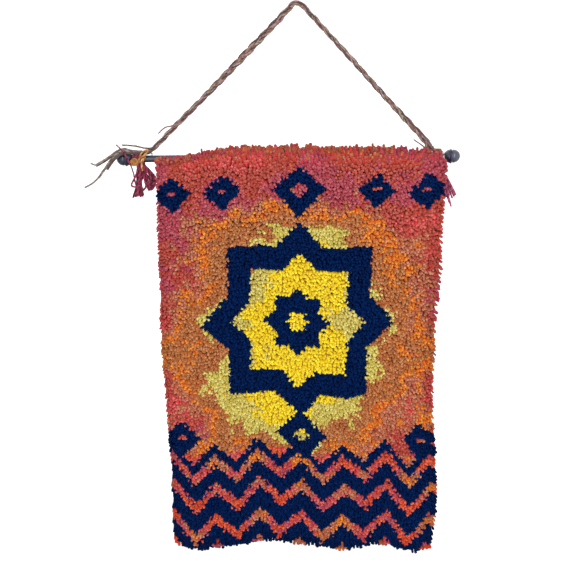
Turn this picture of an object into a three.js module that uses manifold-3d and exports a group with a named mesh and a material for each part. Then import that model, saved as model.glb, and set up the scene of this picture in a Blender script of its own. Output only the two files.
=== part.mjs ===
// A latch hook wall hanging: a shaggy cloth on a wooden rod with two acorn finials, which hangs
// from a nail by a plait of yarn. Millimetres, +Z up. The pile faces -Y and the wall is at +Y.
// The origin is the underside of the plait's bend, where it rests on the nail.

import * as THREE from 'three';
import { mergeVertices } from 'three/addons/utils/BufferGeometryUtils.js';
import Module from 'manifold-3d';

const wasm = await Module();
wasm.setup();

// Driving dimensions
const GAP = 0.3;
const ROD_DROP = 257;
const ROD_RADIUS = 6.35;
const ROD_LEFT = -292;
const ROD_RIGHT = 258;
const TENON_RADIUS = 3;
const TENON_LENGTH = 9;
const FINIAL_LENGTH = 30;
const ROD_SIDES = 20;

const CANVAS_THICKNESS = 2;
const PILE_DEPTH = 19;
const LUMP = 3;
const CLOTH_COLUMNS = 36;
const CLOTH_ROWS = 54;
const CLOTH_SWING = 11;
const SWING_DROP = 150;
const RIPPLE = 3;

const POCKET_LEFT = -186;
const POCKET_RIGHT = 218;
const POCKET_WALL = 3;
const POCKET_DROP = 38;

const PLAIT_PITCH = 72;
const PLAIT_STRAND = 2.55;
const PLAIT_SPREAD = 2.5;
const PLAIT_DEPTH = 1.2;
const PLAIT_SIDES = 8;
const PLAIT_STEP = 5.5;

const YARN = 1.9;
const PLAIT_END = 2.1;
const STRAY = 1.3;
const WRAP_THICKNESS = 3.8;
const WRAP_STEPS = 16;
const LASHED_DEPTH = 6;

const COLOURS = {
  cloth: 0xc4502e,
  rod: 0x1d2230,
  plait: 0x8a6a5e,
  gold: 0xd39a3a,
  wine: 0x6e1f38,
};

// The cloth's outline with its pile. rise is measured up from the rod's axis.
const TOP_EDGE = [
  { x: -251, rise: 5 },
  { x: -197, rise: 10 },
  { x: -150, rise: 17 },
  { x: -81, rise: 25 },
  { x: -17, rise: 25 },
  { x: 4, rise: 20 },
  { x: 40, rise: 24 },
  { x: 75, rise: 19 },
  { x: 150, rise: 19 },
  { x: 190, rise: 15 },
  { x: 253, rise: 13 },
];
const BOTTOM_EDGE = [
  { x: -248, rise: -742 },
  { x: -224, rise: -751 },
  { x: -189, rise: -758 },
  { x: -150, rise: -753 },
  { x: -115, rise: -743 },
  { x: -60, rise: -738 },
  { x: -20, rise: -741 },
  { x: 23, rise: -752 },
  { x: 95, rise: -760 },
  { x: 140, rise: -748 },
  { x: 187, rise: -760 },
  { x: 223, rise: -768 },
  { x: 254, rise: -756 },
];
const LEFT_EDGE = [
  { rise: -745, x: -247 },
  { rise: -703, x: -250 },
  { rise: -590, x: -247 },
  { rise: -450, x: -250 },
  { rise: -280, x: -254 },
  { rise: -120, x: -253 },
  { rise: 0, x: -251 },
];
const RIGHT_EDGE = [
  { rise: -760, x: 254 },
  { rise: -700, x: 261 },
  { rise: -650, x: 264 },
  { rise: -610, x: 263 },
  { rise: -560, x: 258 },
  { rise: -510, x: 253 },
  { rise: -260, x: 252 },
  { rise: -206, x: 256 },
  { rise: -70, x: 258 },
  { rise: -33, x: 263 },
  { rise: -19, x: 262 },
  { rise: -10, x: 254 },
  { rise: 13, x: 253 },
];
// How far the locks of pile stand out along each edge
const LOCKS = { top: 8, right: 6, bottom: 8, left: 3 };

// The plait's route, from the rod's left end over the nail to its right end
const PLAIT_ROUTE = [
  [-261, -242],
  [-252.8, -236.2],
  [-245.4, -229.6],
  [-218.6, -203.2],
  [-189.3, -175.6],
  [-147.4, -135.8],
  [-106.6, -96],
  [-66.5, -56.8],
  [-39.2, -30.2],
  [-24.3, -15],
  [-14, -4.6],
  [-7.4, 2],
  [-0.4, 4.4],
  [6.8, 2.2],
  [14.6, -5.4],
  [26, -17.2],
  [51.4, -44.2],
  [89, -84],
  [127, -125],
  [165, -166],
  [205, -207.4],
  [224, -227.4],
  [230.6, -236.4],
  [234.4, -240.8],
  [238, -243.8],
];
// The plait is drawn tighter towards its ends
const PLAIT_WIDTHS = [
  { along: 0, share: 0.92 },
  { along: 0.2, share: 1.02 },
  { along: 0.42, share: 1.14 },
  { along: 0.55, share: 0.95 },
  { along: 1, share: 1 },
];

// Loose yarn ends, each a row of [x, y, rise] points from its root to its tip
const PLAIT_STRAYS = [
  [[-205, -1, 66], [-212, -4, 60], [-222, -5, 57], [-233, -5, 54.5], [-246, -3, 44]],
  [[-251, -2, 21], [-261, -4, 20], [-272, -5, 20.5], [-285, -4, 23.4], [-308, -3, 25]],
  [[231, -1, 15], [225, -3, 16], [216, -4, 22], [204, -4, 30]],
];
const ENDS_LEFT = [
  [
    [-279, -1, 9.3], [-288, -1, 9.8], [-297, -2, 14], [-307, -3, 17], [-319, -3, 13.8],
    [-331, -3, 6], [-345, -3, -3], [-358, -4, -10], [-368, -4, -7],
  ],
  [
    [-279, -2.4, 9.3], [-288, -2.8, 9.4], [-297, -8, 12.6], [-307, -10.4, 13.6],
    [-320, -10, 6.4], [-331, -9, -5], [-339, -9, -16],
  ],
  [
    [-279, 2.2, 9.3], [-288, 2.6, 9.6], [-297, 4, 14], [-307, 4, 16.6], [-320, 3, 11],
    [-331, 2, -2], [-349, 2, -22], [-357, 2, -33], [-368, 2, -43], [-383, 2, -51],
  ],
];
const ENDS_RIGHT = [
  [[244, -1.6, 9.2], [251.8, -1.8, 9.6], [256, -2.4, 12.4]],
  [[244, 1.8, 9.2], [251.6, 2.2, 9.4], [255, 4, 9]],
];
const GOLD_STRANDS = [
  [[-269, -9.4, 8], [-270.6, -11.4, 6.4], [-275, -13.2, 4.4], [-279.6, -13.6, 1.4], [-280.6, -13.6, -3]],
  [[-269, -9.6, 3], [-272.4, -12.4, 2], [-275.4, -13.4, -1], [-276.2, -13.6, -7], [-275, -13, -20]],
];
const GOLD_KNOT = { x: -287, y: -13.6, rise: -4.5, halfWidth: 6.8, halfHeight: 4.4 };

// The left tassel: its bundle falls from the rod to a waist and flares below it
const BUNDLE = { strands: 8, rootRight: -274, rootLeft: -284, waist: -48, low: -68 };
const BOWS = [
  { out: -257, low: -55, y: -3.6 },
  { out: -262, low: -56, y: 1 },
  { out: -258, low: -44, y: 5.2 },
];
const WINE_TIP = [[-283, -5, -9], [-288, -6, -28], [-297, -6, -47], [-288, -3, -50]];
const WINE_STRAY = [
  [-290, -3, -46], [-292, -6, -36], [-294, -10, -24], [-297, -14, -14], [-301, -16, -4],
  [-305, -17, 6], [-309.5, -15.6, 14], [-314, -12, 20], [-320, -9, 26],
];
// The right tassel: where each strand of its fan ends
const FAN = [
  { x: 283, y: 5, rise: -73 },
  { x: 281, y: 8.5, rise: -64 },
  { x: 278, y: 3, rise: -80 },
  { x: 276, y: 8, rise: -91 },
  { x: 271, y: 4, rise: -75 },
  { x: 266, y: 8, rise: -72 },
  { x: 261, y: 4, rise: -76 },
  { x: 256, y: 8, rise: -71 },
  { x: 250, y: 5, rise: -66 },
];

function mulberry(seed) {
  let state = seed;
  return () => {
    state = (state + 0x6d2b79f5) | 0;
    let mixed = Math.imul(state ^ (state >>> 15), 1 | state);
    mixed = (mixed + Math.imul(mixed ^ (mixed >>> 7), 61 | mixed)) ^ mixed;
    return ((mixed ^ (mixed >>> 14)) >>> 0) / 4294967296;
  };
}

const { clamp, lerp, smoothstep } = THREE.MathUtils;

// A value read off a table whose rows are sorted by one column
function readTable(rows, column, place, wanted) {
  const next = rows.findIndex((row) => row[column] >= place);
  if (next === 0) return rows[0][wanted];
  if (next < 0) return rows[rows.length - 1][wanted];
  const low = rows[next - 1];
  const high = rows[next];
  const share = (place - low[column]) / (high[column] - low[column]);
  return lerp(low[wanted], high[wanted], share);
}

function atRod([x, y, rise]) {
  return new THREE.Vector3(x, y, rise - ROD_DROP);
}

function meshFromFaces(points, faces) {
  const geometry = new THREE.BufferGeometry();
  const flat = points.flatMap((point) => [point.x, point.y, point.z]);
  geometry.setAttribute('position', new THREE.Float32BufferAttribute(flat, 3));
  geometry.setIndex(faces.flat());
  return geometry;
}

// Solids for joins and cuts
function toSolid(geometry) {
  const bare = geometry.clone();
  for (const name of Object.keys(bare.attributes)) {
    if (name !== 'position') bare.deleteAttribute(name);
  }
  const merged = mergeVertices(bare, 1e-4);
  return new wasm.Manifold(new wasm.Mesh({
    numProp: 3,
    vertProperties: new Float32Array(merged.attributes.position.array),
    triVerts: new Uint32Array(merged.index.array),
  }));
}

function toGeometry(solid) {
  const mesh = solid.getMesh();
  const geometry = new THREE.BufferGeometry();
  geometry.setAttribute('position', new THREE.BufferAttribute(new Float32Array(mesh.vertProperties), 3));
  geometry.setIndex(new THREE.BufferAttribute(new Uint32Array(mesh.triVerts), 1));
  return geometry;
}

function join(geometries) {
  return toGeometry(geometries.map(toSolid).reduce((whole, piece) => whole.add(piece)));
}

// A closed body through rings of points, which turn anticlockwise seen from the last ring
function loft(rings) {
  const sides = rings[0].length;
  const points = rings.flat();
  const faces = [];
  for (let ring = 0; ring + 1 < rings.length; ring += 1) {
    for (let side = 0; side < sides; side += 1) {
      const a = ring * sides + side;
      const b = ring * sides + ((side + 1) % sides);
      faces.push([a, b, a + sides], [b, b + sides, a + sides]);
    }
  }
  const capped = [[rings[0], 0, true], [rings[rings.length - 1], points.length - sides, false]];
  for (const [ring, first, reverse] of capped) {
    const centre = new THREE.Vector3();
    ring.forEach((point) => centre.addScaledVector(point, 1 / sides));
    const hub = points.push(centre) - 1;
    for (let side = 0; side < sides; side += 1) {
      const a = first + side;
      const b = first + ((side + 1) % sides);
      faces.push(reverse ? [hub, b, a] : [hub, a, b]);
    }
  }
  return meshFromFaces(points, faces);
}

// A yarn end: a tube on a smooth route, rounded off at its tip
function yarn(points, radius, { sides = 4, step = 9 } = {}) {
  const curve = new THREE.CatmullRomCurve3(points, false, 'centripetal');
  const steps = Math.max(3, Math.ceil(curve.getLength() / step));
  const frames = curve.computeFrenetFrames(steps, false);
  const rings = [];
  for (let ring = 0; ring <= steps; ring += 1) {
    const centre = curve.getPointAt(ring / steps);
    const size = ring === steps ? radius * 0.6 : radius;
    rings.push(Array.from({ length: sides }, (_, side) => {
      const angle = ((side + 0.5) / sides) * 2 * Math.PI;
      return centre.clone()
        .addScaledVector(frames.normals[ring], size * Math.cos(angle))
        .addScaledVector(frames.binormals[ring], size * Math.sin(angle));
    }));
  }
  return loft(rings);
}

function yarns(routes, radius, shape) {
  return routes.map((route) => yarn(route.map(atRod), radius, shape));
}

// A profile of [radius, along] pairs turned about the X axis
function turned(profile, sides) {
  const outline = profile.map(([radius, along]) => new THREE.Vector2(radius, along));
  return new THREE.LatheGeometry(outline, sides).rotateZ(-Math.PI / 2);
}

// Yarn wound side by side round the rod and what is lashed on top of it
function wraps({ from, to, turns, thickness, lashed }) {
  const shape = [{ along: 1, height: 0 }, { along: 0, height: 0 }];
  for (let turn = 0; turn < turns; turn += 1) {
    for (const [share, height] of [[0, 0.5], [0.3, 1], [0.7, 1]]) {
      shape.push({ along: (turn + share) / turns, height: height * thickness });
    }
  }
  shape.push({ along: 1, height: 0.5 * thickness });
  const inner = (ROD_RADIUS + GAP) / Math.cos(Math.PI / WRAP_STEPS);
  const points = [];
  const faces = [];
  for (let step = 0; step < WRAP_STEPS; step += 1) {
    const angle = (step / WRAP_STEPS) * 2 * Math.PI;
    const lift = lashed * clamp(3 * Math.sin(angle), 0, 1);
    for (const { along, height } of shape) {
      const y = (inner + height) * Math.cos(angle);
      const rise = lift + (inner + height) * Math.sin(angle);
      points.push(atRod([lerp(from, to, along), y, rise]));
    }
  }
  const count = shape.length;
  for (let step = 0; step < WRAP_STEPS; step += 1) {
    const here = step * count;
    const there = ((step + 1) % WRAP_STEPS) * count;
    for (let i = 0; i < count; i += 1) {
      const j = (i + 1) % count;
      faces.push([here + i, there + i, here + j], [here + j, there + i, there + j]);
    }
  }
  return meshFromFaces(points, faces);
}

// The cloth: a lumpy slab of pile on its canvas, with locks at its rim
function clothBack(x, rise) {
  const hang = smoothstep(-rise, 0, SWING_DROP);
  const low = smoothstep(-rise, SWING_DROP, 3 * SWING_DROP);
  const wave = Math.sin((x + 70) / 41) * low + 0.6 * Math.sin((x - rise * 0.5) / 29) * low;
  return -ROD_RADIUS - GAP - 0.5 + CLOTH_SWING * hang + RIPPLE * wave;
}

function clothPlace(across, up) {
  const rough = lerp(-750, 18, up);
  const left = readTable(LEFT_EDGE, 'rise', rough, 'x') + LOCKS.left;
  const right = readTable(RIGHT_EDGE, 'rise', rough, 'x') - LOCKS.right;
  const x = lerp(left, right, across);
  const bottom = readTable(BOTTOM_EDGE, 'x', x, 'rise') + LOCKS.bottom;
  const top = readTable(TOP_EDGE, 'x', x, 'rise') - LOCKS.top;
  return { x, rise: lerp(bottom, top, up) };
}

function clothSlab() {
  const random = mulberry(11);
  const jitter = (size) => (random() - 0.5) * 2 * size;
  const points = [];
  const faces = [];
  const front = [];
  for (let row = 0; row <= CLOTH_ROWS; row += 1) {
    for (let column = 0; column <= CLOTH_COLUMNS; column += 1) {
      const { x, rise } = clothPlace(column / CLOTH_COLUMNS, row / CLOTH_ROWS);
      const inside = Math.min(column, CLOTH_COLUMNS - column, row, CLOTH_ROWS - row);
      const loose = inside > 0 ? 1 : 0;
      const crown = [0.62, 0.92, 1][Math.min(inside, 2)];
      const depth = CANVAS_THICKNESS + PILE_DEPTH * crown + jitter(LUMP);
      front.push(points.length);
      points.push(atRod([x + jitter(3) * loose, clothBack(x, rise) - depth, rise + jitter(3) * loose]));
    }
  }
  const frontAt = (column, row) => front[row * (CLOTH_COLUMNS + 1) + column];
  for (let row = 0; row < CLOTH_ROWS; row += 1) {
    for (let column = 0; column < CLOTH_COLUMNS; column += 1) {
      const a = frontAt(column, row);
      const b = frontAt(column + 1, row);
      const c = frontAt(column + 1, row + 1);
      const d = frontAt(column, row + 1);
      faces.push([a, b, c], [a, c, d]);
    }
  }

  const back = new Map();
  const backAt = (column, row) => {
    const key = `${column} ${row}`;
    if (!back.has(key)) {
      const { x, rise } = clothPlace(column / CLOTH_COLUMNS, row / CLOTH_ROWS);
      back.set(key, points.push(atRod([x, clothBack(x, rise), rise])) - 1);
    }
    return back.get(key);
  };
  for (let row = 0; row < CLOTH_ROWS; row += 2) {
    for (let column = 0; column < CLOTH_COLUMNS; column += 2) {
      const a = backAt(column, row);
      const b = backAt(column + 2, row);
      const c = backAt(column + 2, row + 2);
      const d = backAt(column, row + 2);
      faces.push([a, c, b], [a, d, c]);
    }
  }

  // The rim, anticlockwise seen from the front: bottom, right, top, left
  const rim = [];
  for (let column = 0; column < CLOTH_COLUMNS; column += 1) rim.push([column, 0, 'bottom']);
  for (let row = 0; row < CLOTH_ROWS; row += 1) rim.push([CLOTH_COLUMNS, row, 'right']);
  for (let column = CLOTH_COLUMNS; column > 0; column -= 1) rim.push([column, CLOTH_ROWS, 'top']);
  for (let row = CLOTH_ROWS; row > 0; row -= 1) rim.push([0, row, 'left']);
  const outward = { bottom: [0, -1], right: [1, 0], top: [0, 1], left: [-1, 0] };

  const middle = rim.map(([column, row, side]) => {
    const { x, rise } = clothPlace(column / CLOTH_COLUMNS, row / CLOTH_ROWS);
    const [dx, dz] = outward[side];
    const bulge = LOCKS[side] * 0.25;
    const y = clothBack(x, rise) - CANVAS_THICKNESS - PILE_DEPTH * 0.2;
    return points.push(atRod([x + dx * bulge, y, rise + dz * bulge])) - 1;
  });
  rim.forEach(([column, row, side], i) => {
    const [nextColumn, nextRow] = rim[(i + 1) % rim.length];
    const f0 = frontAt(column, row);
    const f1 = frontAt(nextColumn, nextRow);
    const m0 = middle[i];
    const m1 = middle[(i + 1) % rim.length];
    const tip = new THREE.Vector3();
    [f0, f1, m0, m1].forEach((index) => tip.addScaledVector(points[index], 0.25));
    const [dx, dz] = outward[side];
    const reach = LOCKS[side] * (0.75 + 0.35 * random());
    const slant = jitter(4);
    tip.x += dx * reach + Math.abs(dz) * slant;
    tip.z += dz * reach + Math.abs(dx) * (slant - 2);
    const t = points.push(tip) - 1;
    faces.push([f0, t, f1], [f1, t, m1], [m1, t, m0], [m0, t, f0]);
  });
  for (let i = 0; i < rim.length; i += 2) {
    const after = rim[(i + 2) % rim.length];
    const m0 = middle[i];
    const m1 = middle[i + 1];
    const m2 = middle[(i + 2) % rim.length];
    const b0 = backAt(rim[i][0], rim[i][1]);
    const b1 = backAt(after[0], after[1]);
    faces.push([m1, m0, b0], [m1, b0, b1], [m2, m1, b1]);
  }
  return meshFromFaces(points, faces);
}

// The rod pocket: the canvas turned over the rod and sewn to its own back, in section
function rodPocket() {
  const inner = ROD_RADIUS + GAP + 0.05;
  const outer = inner + POCKET_WALL;
  const section = new THREE.Shape();
  section.absarc(0, 0, outer, 0, Math.PI, false);
  section.lineTo(-outer, -POCKET_DROP * 0.8);
  section.lineTo(-outer + 1.5, -POCKET_DROP);
  section.lineTo(-outer + 4, -POCKET_DROP);
  section.quadraticCurveTo(outer - 1, -POCKET_DROP * 0.5, outer, 0);
  const hole = new THREE.Path();
  hole.absarc(0, 0, inner, 0, Math.PI, false);
  hole.lineTo(-inner, -POCKET_DROP * 0.6);
  hole.quadraticCurveTo(inner - 1, -POCKET_DROP * 0.36, inner, 0);
  section.holes.push(hole);
  const length = POCKET_RIGHT - POCKET_LEFT;
  const extent = { depth: length, bevelEnabled: false, curveSegments: 10 };
  const geometry = new THREE.ExtrudeGeometry(section, extent);
  const yAxis = new THREE.Vector3(0, 1, 0);
  const zAxis = new THREE.Vector3(0, 0, 1);
  const xAxis = new THREE.Vector3(1, 0, 0);
  geometry.applyMatrix4(new THREE.Matrix4().makeBasis(yAxis, zAxis, xAxis));
  return geometry.translate(POCKET_LEFT, 0, -ROD_DROP);
}

// The hollow that the wound yarn at the rod's right end presses into the cloth's back
function rightHollow() {
  const reach = ROD_RADIUS + GAP + WRAP_THICKNESS + 1.5;
  const geometry = new THREE.CylinderGeometry(reach, reach, 34, 20).rotateZ(-Math.PI / 2);
  geometry.scale(1, 1, (reach + LASHED_DEPTH / 2) / reach);
  return geometry.translate(POCKET_RIGHT + 24, 0, LASHED_DEPTH / 2 - ROD_DROP);
}

function cloth() {
  const whole = toSolid(clothSlab()).add(toSolid(rodPocket()));
  return toGeometry(whole.subtract(toSolid(rightHollow())));
}

function rod() {
  const bore = TENON_RADIUS + GAP;
  const depth = TENON_LENGTH + GAP;
  return turned([
    [0, ROD_LEFT + depth],
    [bore, ROD_LEFT + depth],
    [bore, ROD_LEFT],
    [ROD_RADIUS, ROD_LEFT],
    [ROD_RADIUS, ROD_RIGHT],
    [bore, ROD_RIGHT],
    [bore, ROD_RIGHT - depth],
    [0, ROD_RIGHT - depth],
  ], ROD_SIDES).translate(0, 0, -ROD_DROP);
}

// An acorn: a tenon, a cup with a sharp brim, and a smooth nut
function finial() {
  return turned([
    [0, -TENON_LENGTH],
    [TENON_RADIUS, -TENON_LENGTH],
    [TENON_RADIUS, GAP],
    [5.9, GAP],
    [6.1, 1.6],
    [8.6, 3.6],
    [11, 7],
    [12.2, 11],
    [13.2, 12.4],
    [13.3, 13.8],
    [12.1, 14.9],
    [12, 17.6],
    [11.1, 21],
    [9.1, 24.6],
    [6.2, 27.6],
    [3, 29.4],
    [0, FINIAL_LENGTH],
  ], ROD_SIDES);
}

// The plait: at each step the outline round three strands that weave past each other
function plaitReach(phase, angle, share) {
  const radius = PLAIT_STRAND * share;
  let reach = radius;
  for (let strand = 0; strand < 3; strand += 1) {
    const turn = phase + (strand * 2 * Math.PI) / 3;
    const across = PLAIT_SPREAD * share * Math.sin(turn);
    const deep = PLAIT_DEPTH * share * Math.sin(2 * turn);
    const forward = across * Math.cos(angle) + deep * Math.sin(angle);
    const aside = across * Math.sin(angle) - deep * Math.cos(angle);
    if (Math.abs(aside) < radius) {
      reach = Math.max(reach, forward + Math.sqrt(radius * radius - aside * aside));
    }
  }
  return reach;
}

function hanger() {
  const points = PLAIT_ROUTE.map(([x, z]) => new THREE.Vector3(x, 0, z));
  const curve = new THREE.CatmullRomCurve3(points, false, 'centripetal');
  curve.arcLengthDivisions = 600;
  const length = curve.getLength();
  const steps = Math.round(length / PLAIT_STEP);
  const rings = [];
  for (let ring = 0; ring <= steps; ring += 1) {
    const along = ring / steps;
    const centre = curve.getPointAt(along);
    const tangent = curve.getTangentAt(along);
    const wide = new THREE.Vector3(-tangent.z, 0, tangent.x);
    const share = readTable(PLAIT_WIDTHS, 'along', along, 'share');
    const phase = ((along * length) / PLAIT_PITCH) * 2 * Math.PI;
    rings.push(Array.from({ length: PLAIT_SIDES }, (_, side) => {
      const angle = (side / PLAIT_SIDES) * 2 * Math.PI;
      const reach = plaitReach(phase, angle, share);
      const point = centre.clone().addScaledVector(wide, reach * Math.cos(angle));
      point.y -= reach * Math.sin(angle);
      return point;
    }));
  }
  return join([loft(rings), ...yarns(PLAIT_STRAYS, STRAY)]);
}

// The plait's end, flattened on the rod under the wraps
function lashedEnd(start, heading, flatFrom, flatTo) {
  const along = new THREE.Vector3(Math.sign(flatTo - flatFrom), 0, 0);
  const middle = ROD_RADIUS + LASHED_DEPTH / 2;
  const stations = [
    { centre: start, ahead: heading, halfWidth: 3.6, halfDepth: 3.4 },
    { centre: atRod([flatFrom, 0, middle]), ahead: along, halfWidth: 4.4, halfDepth: 2.5 },
    { centre: atRod([flatTo, 0, middle]), ahead: along, halfWidth: 4.4, halfDepth: 2.5 },
  ];
  const wide = new THREE.Vector3(0, -1, 0);
  return loft(stations.map(({ centre, ahead, halfWidth, halfDepth }) => {
    const tall = new THREE.Vector3().crossVectors(ahead, wide);
    return Array.from({ length: PLAIT_SIDES }, (_, side) => {
      const angle = ((side + 0.5) / PLAIT_SIDES) * 2 * Math.PI;
      return centre.clone()
        .addScaledVector(wide, halfWidth * Math.cos(angle))
        .addScaledVector(tall, halfDepth * Math.sin(angle));
    });
  }));
}

// The lashed end and the loose ends that leave it, next to the plait's own end face
function plaitEnds(end, before, flatFrom, flatTo, loose) {
  const face = new THREE.Vector3(end[0], 0, end[1]);
  const heading = new THREE.Vector3(end[0] - before[0], 0, end[1] - before[1]).normalize();
  const start = face.addScaledVector(heading, GAP + 0.1);
  return join([lashedEnd(start, heading, flatFrom, flatTo), ...yarns(loose, PLAIT_END, { sides: 5 })]);
}

function goldTie() {
  const ring = wraps({ from: -271.6, to: -267.6, turns: 1, thickness: 3.4, lashed: LASHED_DEPTH });
  const { x, y, rise, halfWidth, halfHeight } = GOLD_KNOT;
  const tube = 0.3;
  const loop = new THREE.TorusGeometry(1, tube, 6, 14);
  loop.scale(halfWidth, halfHeight, YARN / tube).rotateX(Math.PI / 2);
  loop.translate(x, y, rise - ROD_DROP);
  return join([ring, loop, ...yarns(GOLD_STRANDS, YARN, { sides: 6, step: 5 })]);
}

function tasselLeft() {
  const random = mulberry(5);
  const ring = wraps({ from: -286, to: -272, turns: 3, thickness: WRAP_THICKNESS, lashed: LASHED_DEPTH });
  const { strands, rootLeft, rootRight, waist, low } = BUNDLE;
  const bundle = Array.from({ length: strands }, (_, i) => {
    const share = i / (strands - 1);
    const y = (i % 2 ? 4.5 : -4.5) + random();
    return [
      [lerp(rootLeft, rootRight, share), y, -8],
      [lerp(rootLeft - 2, rootRight - 3, share), y, waist * 0.55],
      [lerp(rootLeft - 4, rootRight - 9, share), y * 0.6, waist],
      [lerp(rootLeft - 11, rootRight - 3.5, share), y * 0.8, low + 4 * random() - 2],
    ];
  });
  const bows = BOWS.map(({ out, low: bottom, y }) => [
    [-277, y, -9],
    [lerp(-277, out, 0.5), y, -20],
    [out, y, -36],
    [out - 4, y, bottom + 4],
    [out - 9, y, bottom],
    [out - 12, y, bottom + 12],
    [-276, y * 0.5, -24],
  ]);
  return join([ring, ...yarns([...bundle, ...bows, WINE_TIP, WINE_STRAY], YARN)]);
}

function tasselRight() {
  const ring = wraps({ from: 243, to: 252, turns: 2, thickness: WRAP_THICKNESS, lashed: LASHED_DEPTH });
  const routes = FAN.map(({ x, y, rise }, i) => {
    const root = 246 + (i % 3) * 1.6;
    return [[root, 6, -6], [lerp(root, x, 0.22), 7, -24], [lerp(root, x, 0.6), y, rise * 0.6], [x, y, rise]];
  });
  return join([ring, ...yarns(routes, YARN)]);
}

const FINISHES = {
  cloth: new THREE.MeshStandardMaterial({ color: COLOURS.cloth, roughness: 0.95, metalness: 0 }),
  rod: new THREE.MeshStandardMaterial({ color: COLOURS.rod, roughness: 0.35, metalness: 0 }),
  plait: new THREE.MeshStandardMaterial({ color: COLOURS.plait, roughness: 0.9, metalness: 0 }),
  gold: new THREE.MeshStandardMaterial({ color: COLOURS.gold, roughness: 0.9, metalness: 0 }),
  wine: new THREE.MeshStandardMaterial({ color: COLOURS.wine, roughness: 0.9, metalness: 0 }),
};

const group = new THREE.Group();

function addPiece(name, geometry, finish) {
  const mesh = new THREE.Mesh(geometry, FINISHES[finish].clone());
  mesh.name = name;
  group.add(mesh);
  return mesh;
}

addPiece('cloth', cloth(), 'cloth');
addPiece('rod', rod(), 'rod');
addPiece('finial_right', finial(), 'rod').position.set(ROD_RIGHT, 0, -ROD_DROP);
const leftFinial = addPiece('finial_left', finial(), 'rod');
leftFinial.position.set(ROD_LEFT, 0, -ROD_DROP);
leftFinial.rotation.z = Math.PI;
addPiece('hanger', hanger(), 'plait');
const leftEnds = plaitEnds(PLAIT_ROUTE.at(0), PLAIT_ROUTE.at(1), -267.4, -289, ENDS_LEFT);
const rightEnds = plaitEnds(PLAIT_ROUTE.at(-1), PLAIT_ROUTE.at(-2), 242.8, 252, ENDS_RIGHT);
addPiece('ends_left', leftEnds, 'plait');
addPiece('ends_right', rightEnds, 'plait');
addPiece('gold_tie', goldTie(), 'gold');
addPiece('tassel_left', tasselLeft(), 'wine');
addPiece('tassel_right', tasselRight(), 'wine');

export default group;
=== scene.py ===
from math import cos, pi, radians, sin, tau

import bpy
import numpy as np
from mathutils import Matrix, Vector


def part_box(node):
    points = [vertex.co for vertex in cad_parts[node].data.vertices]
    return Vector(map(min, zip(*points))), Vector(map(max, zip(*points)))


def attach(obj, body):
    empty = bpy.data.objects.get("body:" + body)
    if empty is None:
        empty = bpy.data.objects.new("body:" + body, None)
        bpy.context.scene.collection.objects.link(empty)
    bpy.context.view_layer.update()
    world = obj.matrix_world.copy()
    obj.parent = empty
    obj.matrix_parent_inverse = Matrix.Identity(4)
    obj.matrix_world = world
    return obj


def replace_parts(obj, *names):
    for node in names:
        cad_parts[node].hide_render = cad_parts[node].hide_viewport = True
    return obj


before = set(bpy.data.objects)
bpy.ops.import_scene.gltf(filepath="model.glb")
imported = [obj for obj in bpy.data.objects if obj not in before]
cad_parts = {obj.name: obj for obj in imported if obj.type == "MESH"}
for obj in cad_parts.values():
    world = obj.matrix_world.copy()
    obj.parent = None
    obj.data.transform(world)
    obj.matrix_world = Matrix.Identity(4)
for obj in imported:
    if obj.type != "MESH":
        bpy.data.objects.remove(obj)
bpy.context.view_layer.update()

MM = 0.001
ROD_LOW, ROD_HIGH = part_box("rod")
ROD_Z = (ROD_LOW[2] + ROD_HIGH[2]) / 2
ROD_RADIUS = (ROD_HIGH[2] - ROD_LOW[2]) / 2
ROD_LEFT = ROD_LOW[0]
ROD_RIGHT = ROD_HIGH[0]
ROD_GAP = 0.3 * MM

# The cloth's outline with its pile, as (x, rise over the rod's axis) in millimetres
TOP_EDGE = [(-251, 5), (-197, 10), (-150, 17), (-81, 25), (-17, 25), (4, 20), (40, 24),
            (75, 19), (150, 19), (190, 15), (253, 13)]
BOTTOM_EDGE = [
    (-248, -742), (-224, -751), (-189, -758), (-150, -753), (-115, -743), (-60, -738), (-20, -741),
    (23, -752), (95, -760), (140, -748), (187, -760), (223, -768), (254, -756)
]
# The side edges, as (rise, x) in millimetres
LEFT_EDGE = [(-745, -247), (-703, -250), (-590, -247), (-450, -250), (-280, -254),
             (-120, -253), (0, -251)]
RIGHT_EDGE = [
    (-760, 254), (-700, 261), (-650, 264), (-610, 263), (-560, 258), (-510, 253), (-260, 252), (-206, 256),
    (-70, 258), (-33, 263), (-19, 262), (-10, 254), (13, 253)
]

CANVAS_MESH = 6.77 * MM
CANVAS_THICKNESS = 1.4 * MM
KNOT_COLUMNS = 74
KNOT_ROWS = 110

# A tuft is one leg of a knot, tilted from level: more at the lower rim, and with the outline at the top
TUFT_LENGTH = 20.5 * MM
TUFT_RADIUS = 2.4 * MM
DROOP = radians(-15)
LOW_DROOP = radians(-38)
TOP_ROWS = 12
LOW_ROWS = 3

# The rows at the top lie closer together, by a share over some rows
TOP_CLOSE = 0.42
TOP_CLOSE_ROWS = 12

# Past the drop the cloth hangs this much nearer the wall, with a ripple across it
CLOTH_SWING = 11 * MM
SWING_DROP = 150 * MM
RIPPLE = 3 * MM

POCKET_LEFT = -186 * MM
POCKET_RIGHT = 218 * MM
POCKET_DROP = 36 * MM
POCKET_RADIUS = ROD_RADIUS + ROD_GAP + 1.2 * MM


# Camera

IMAGE_SIZE = 580
FOCAL_PIXELS = 836
SENSOR = 36.0


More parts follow.
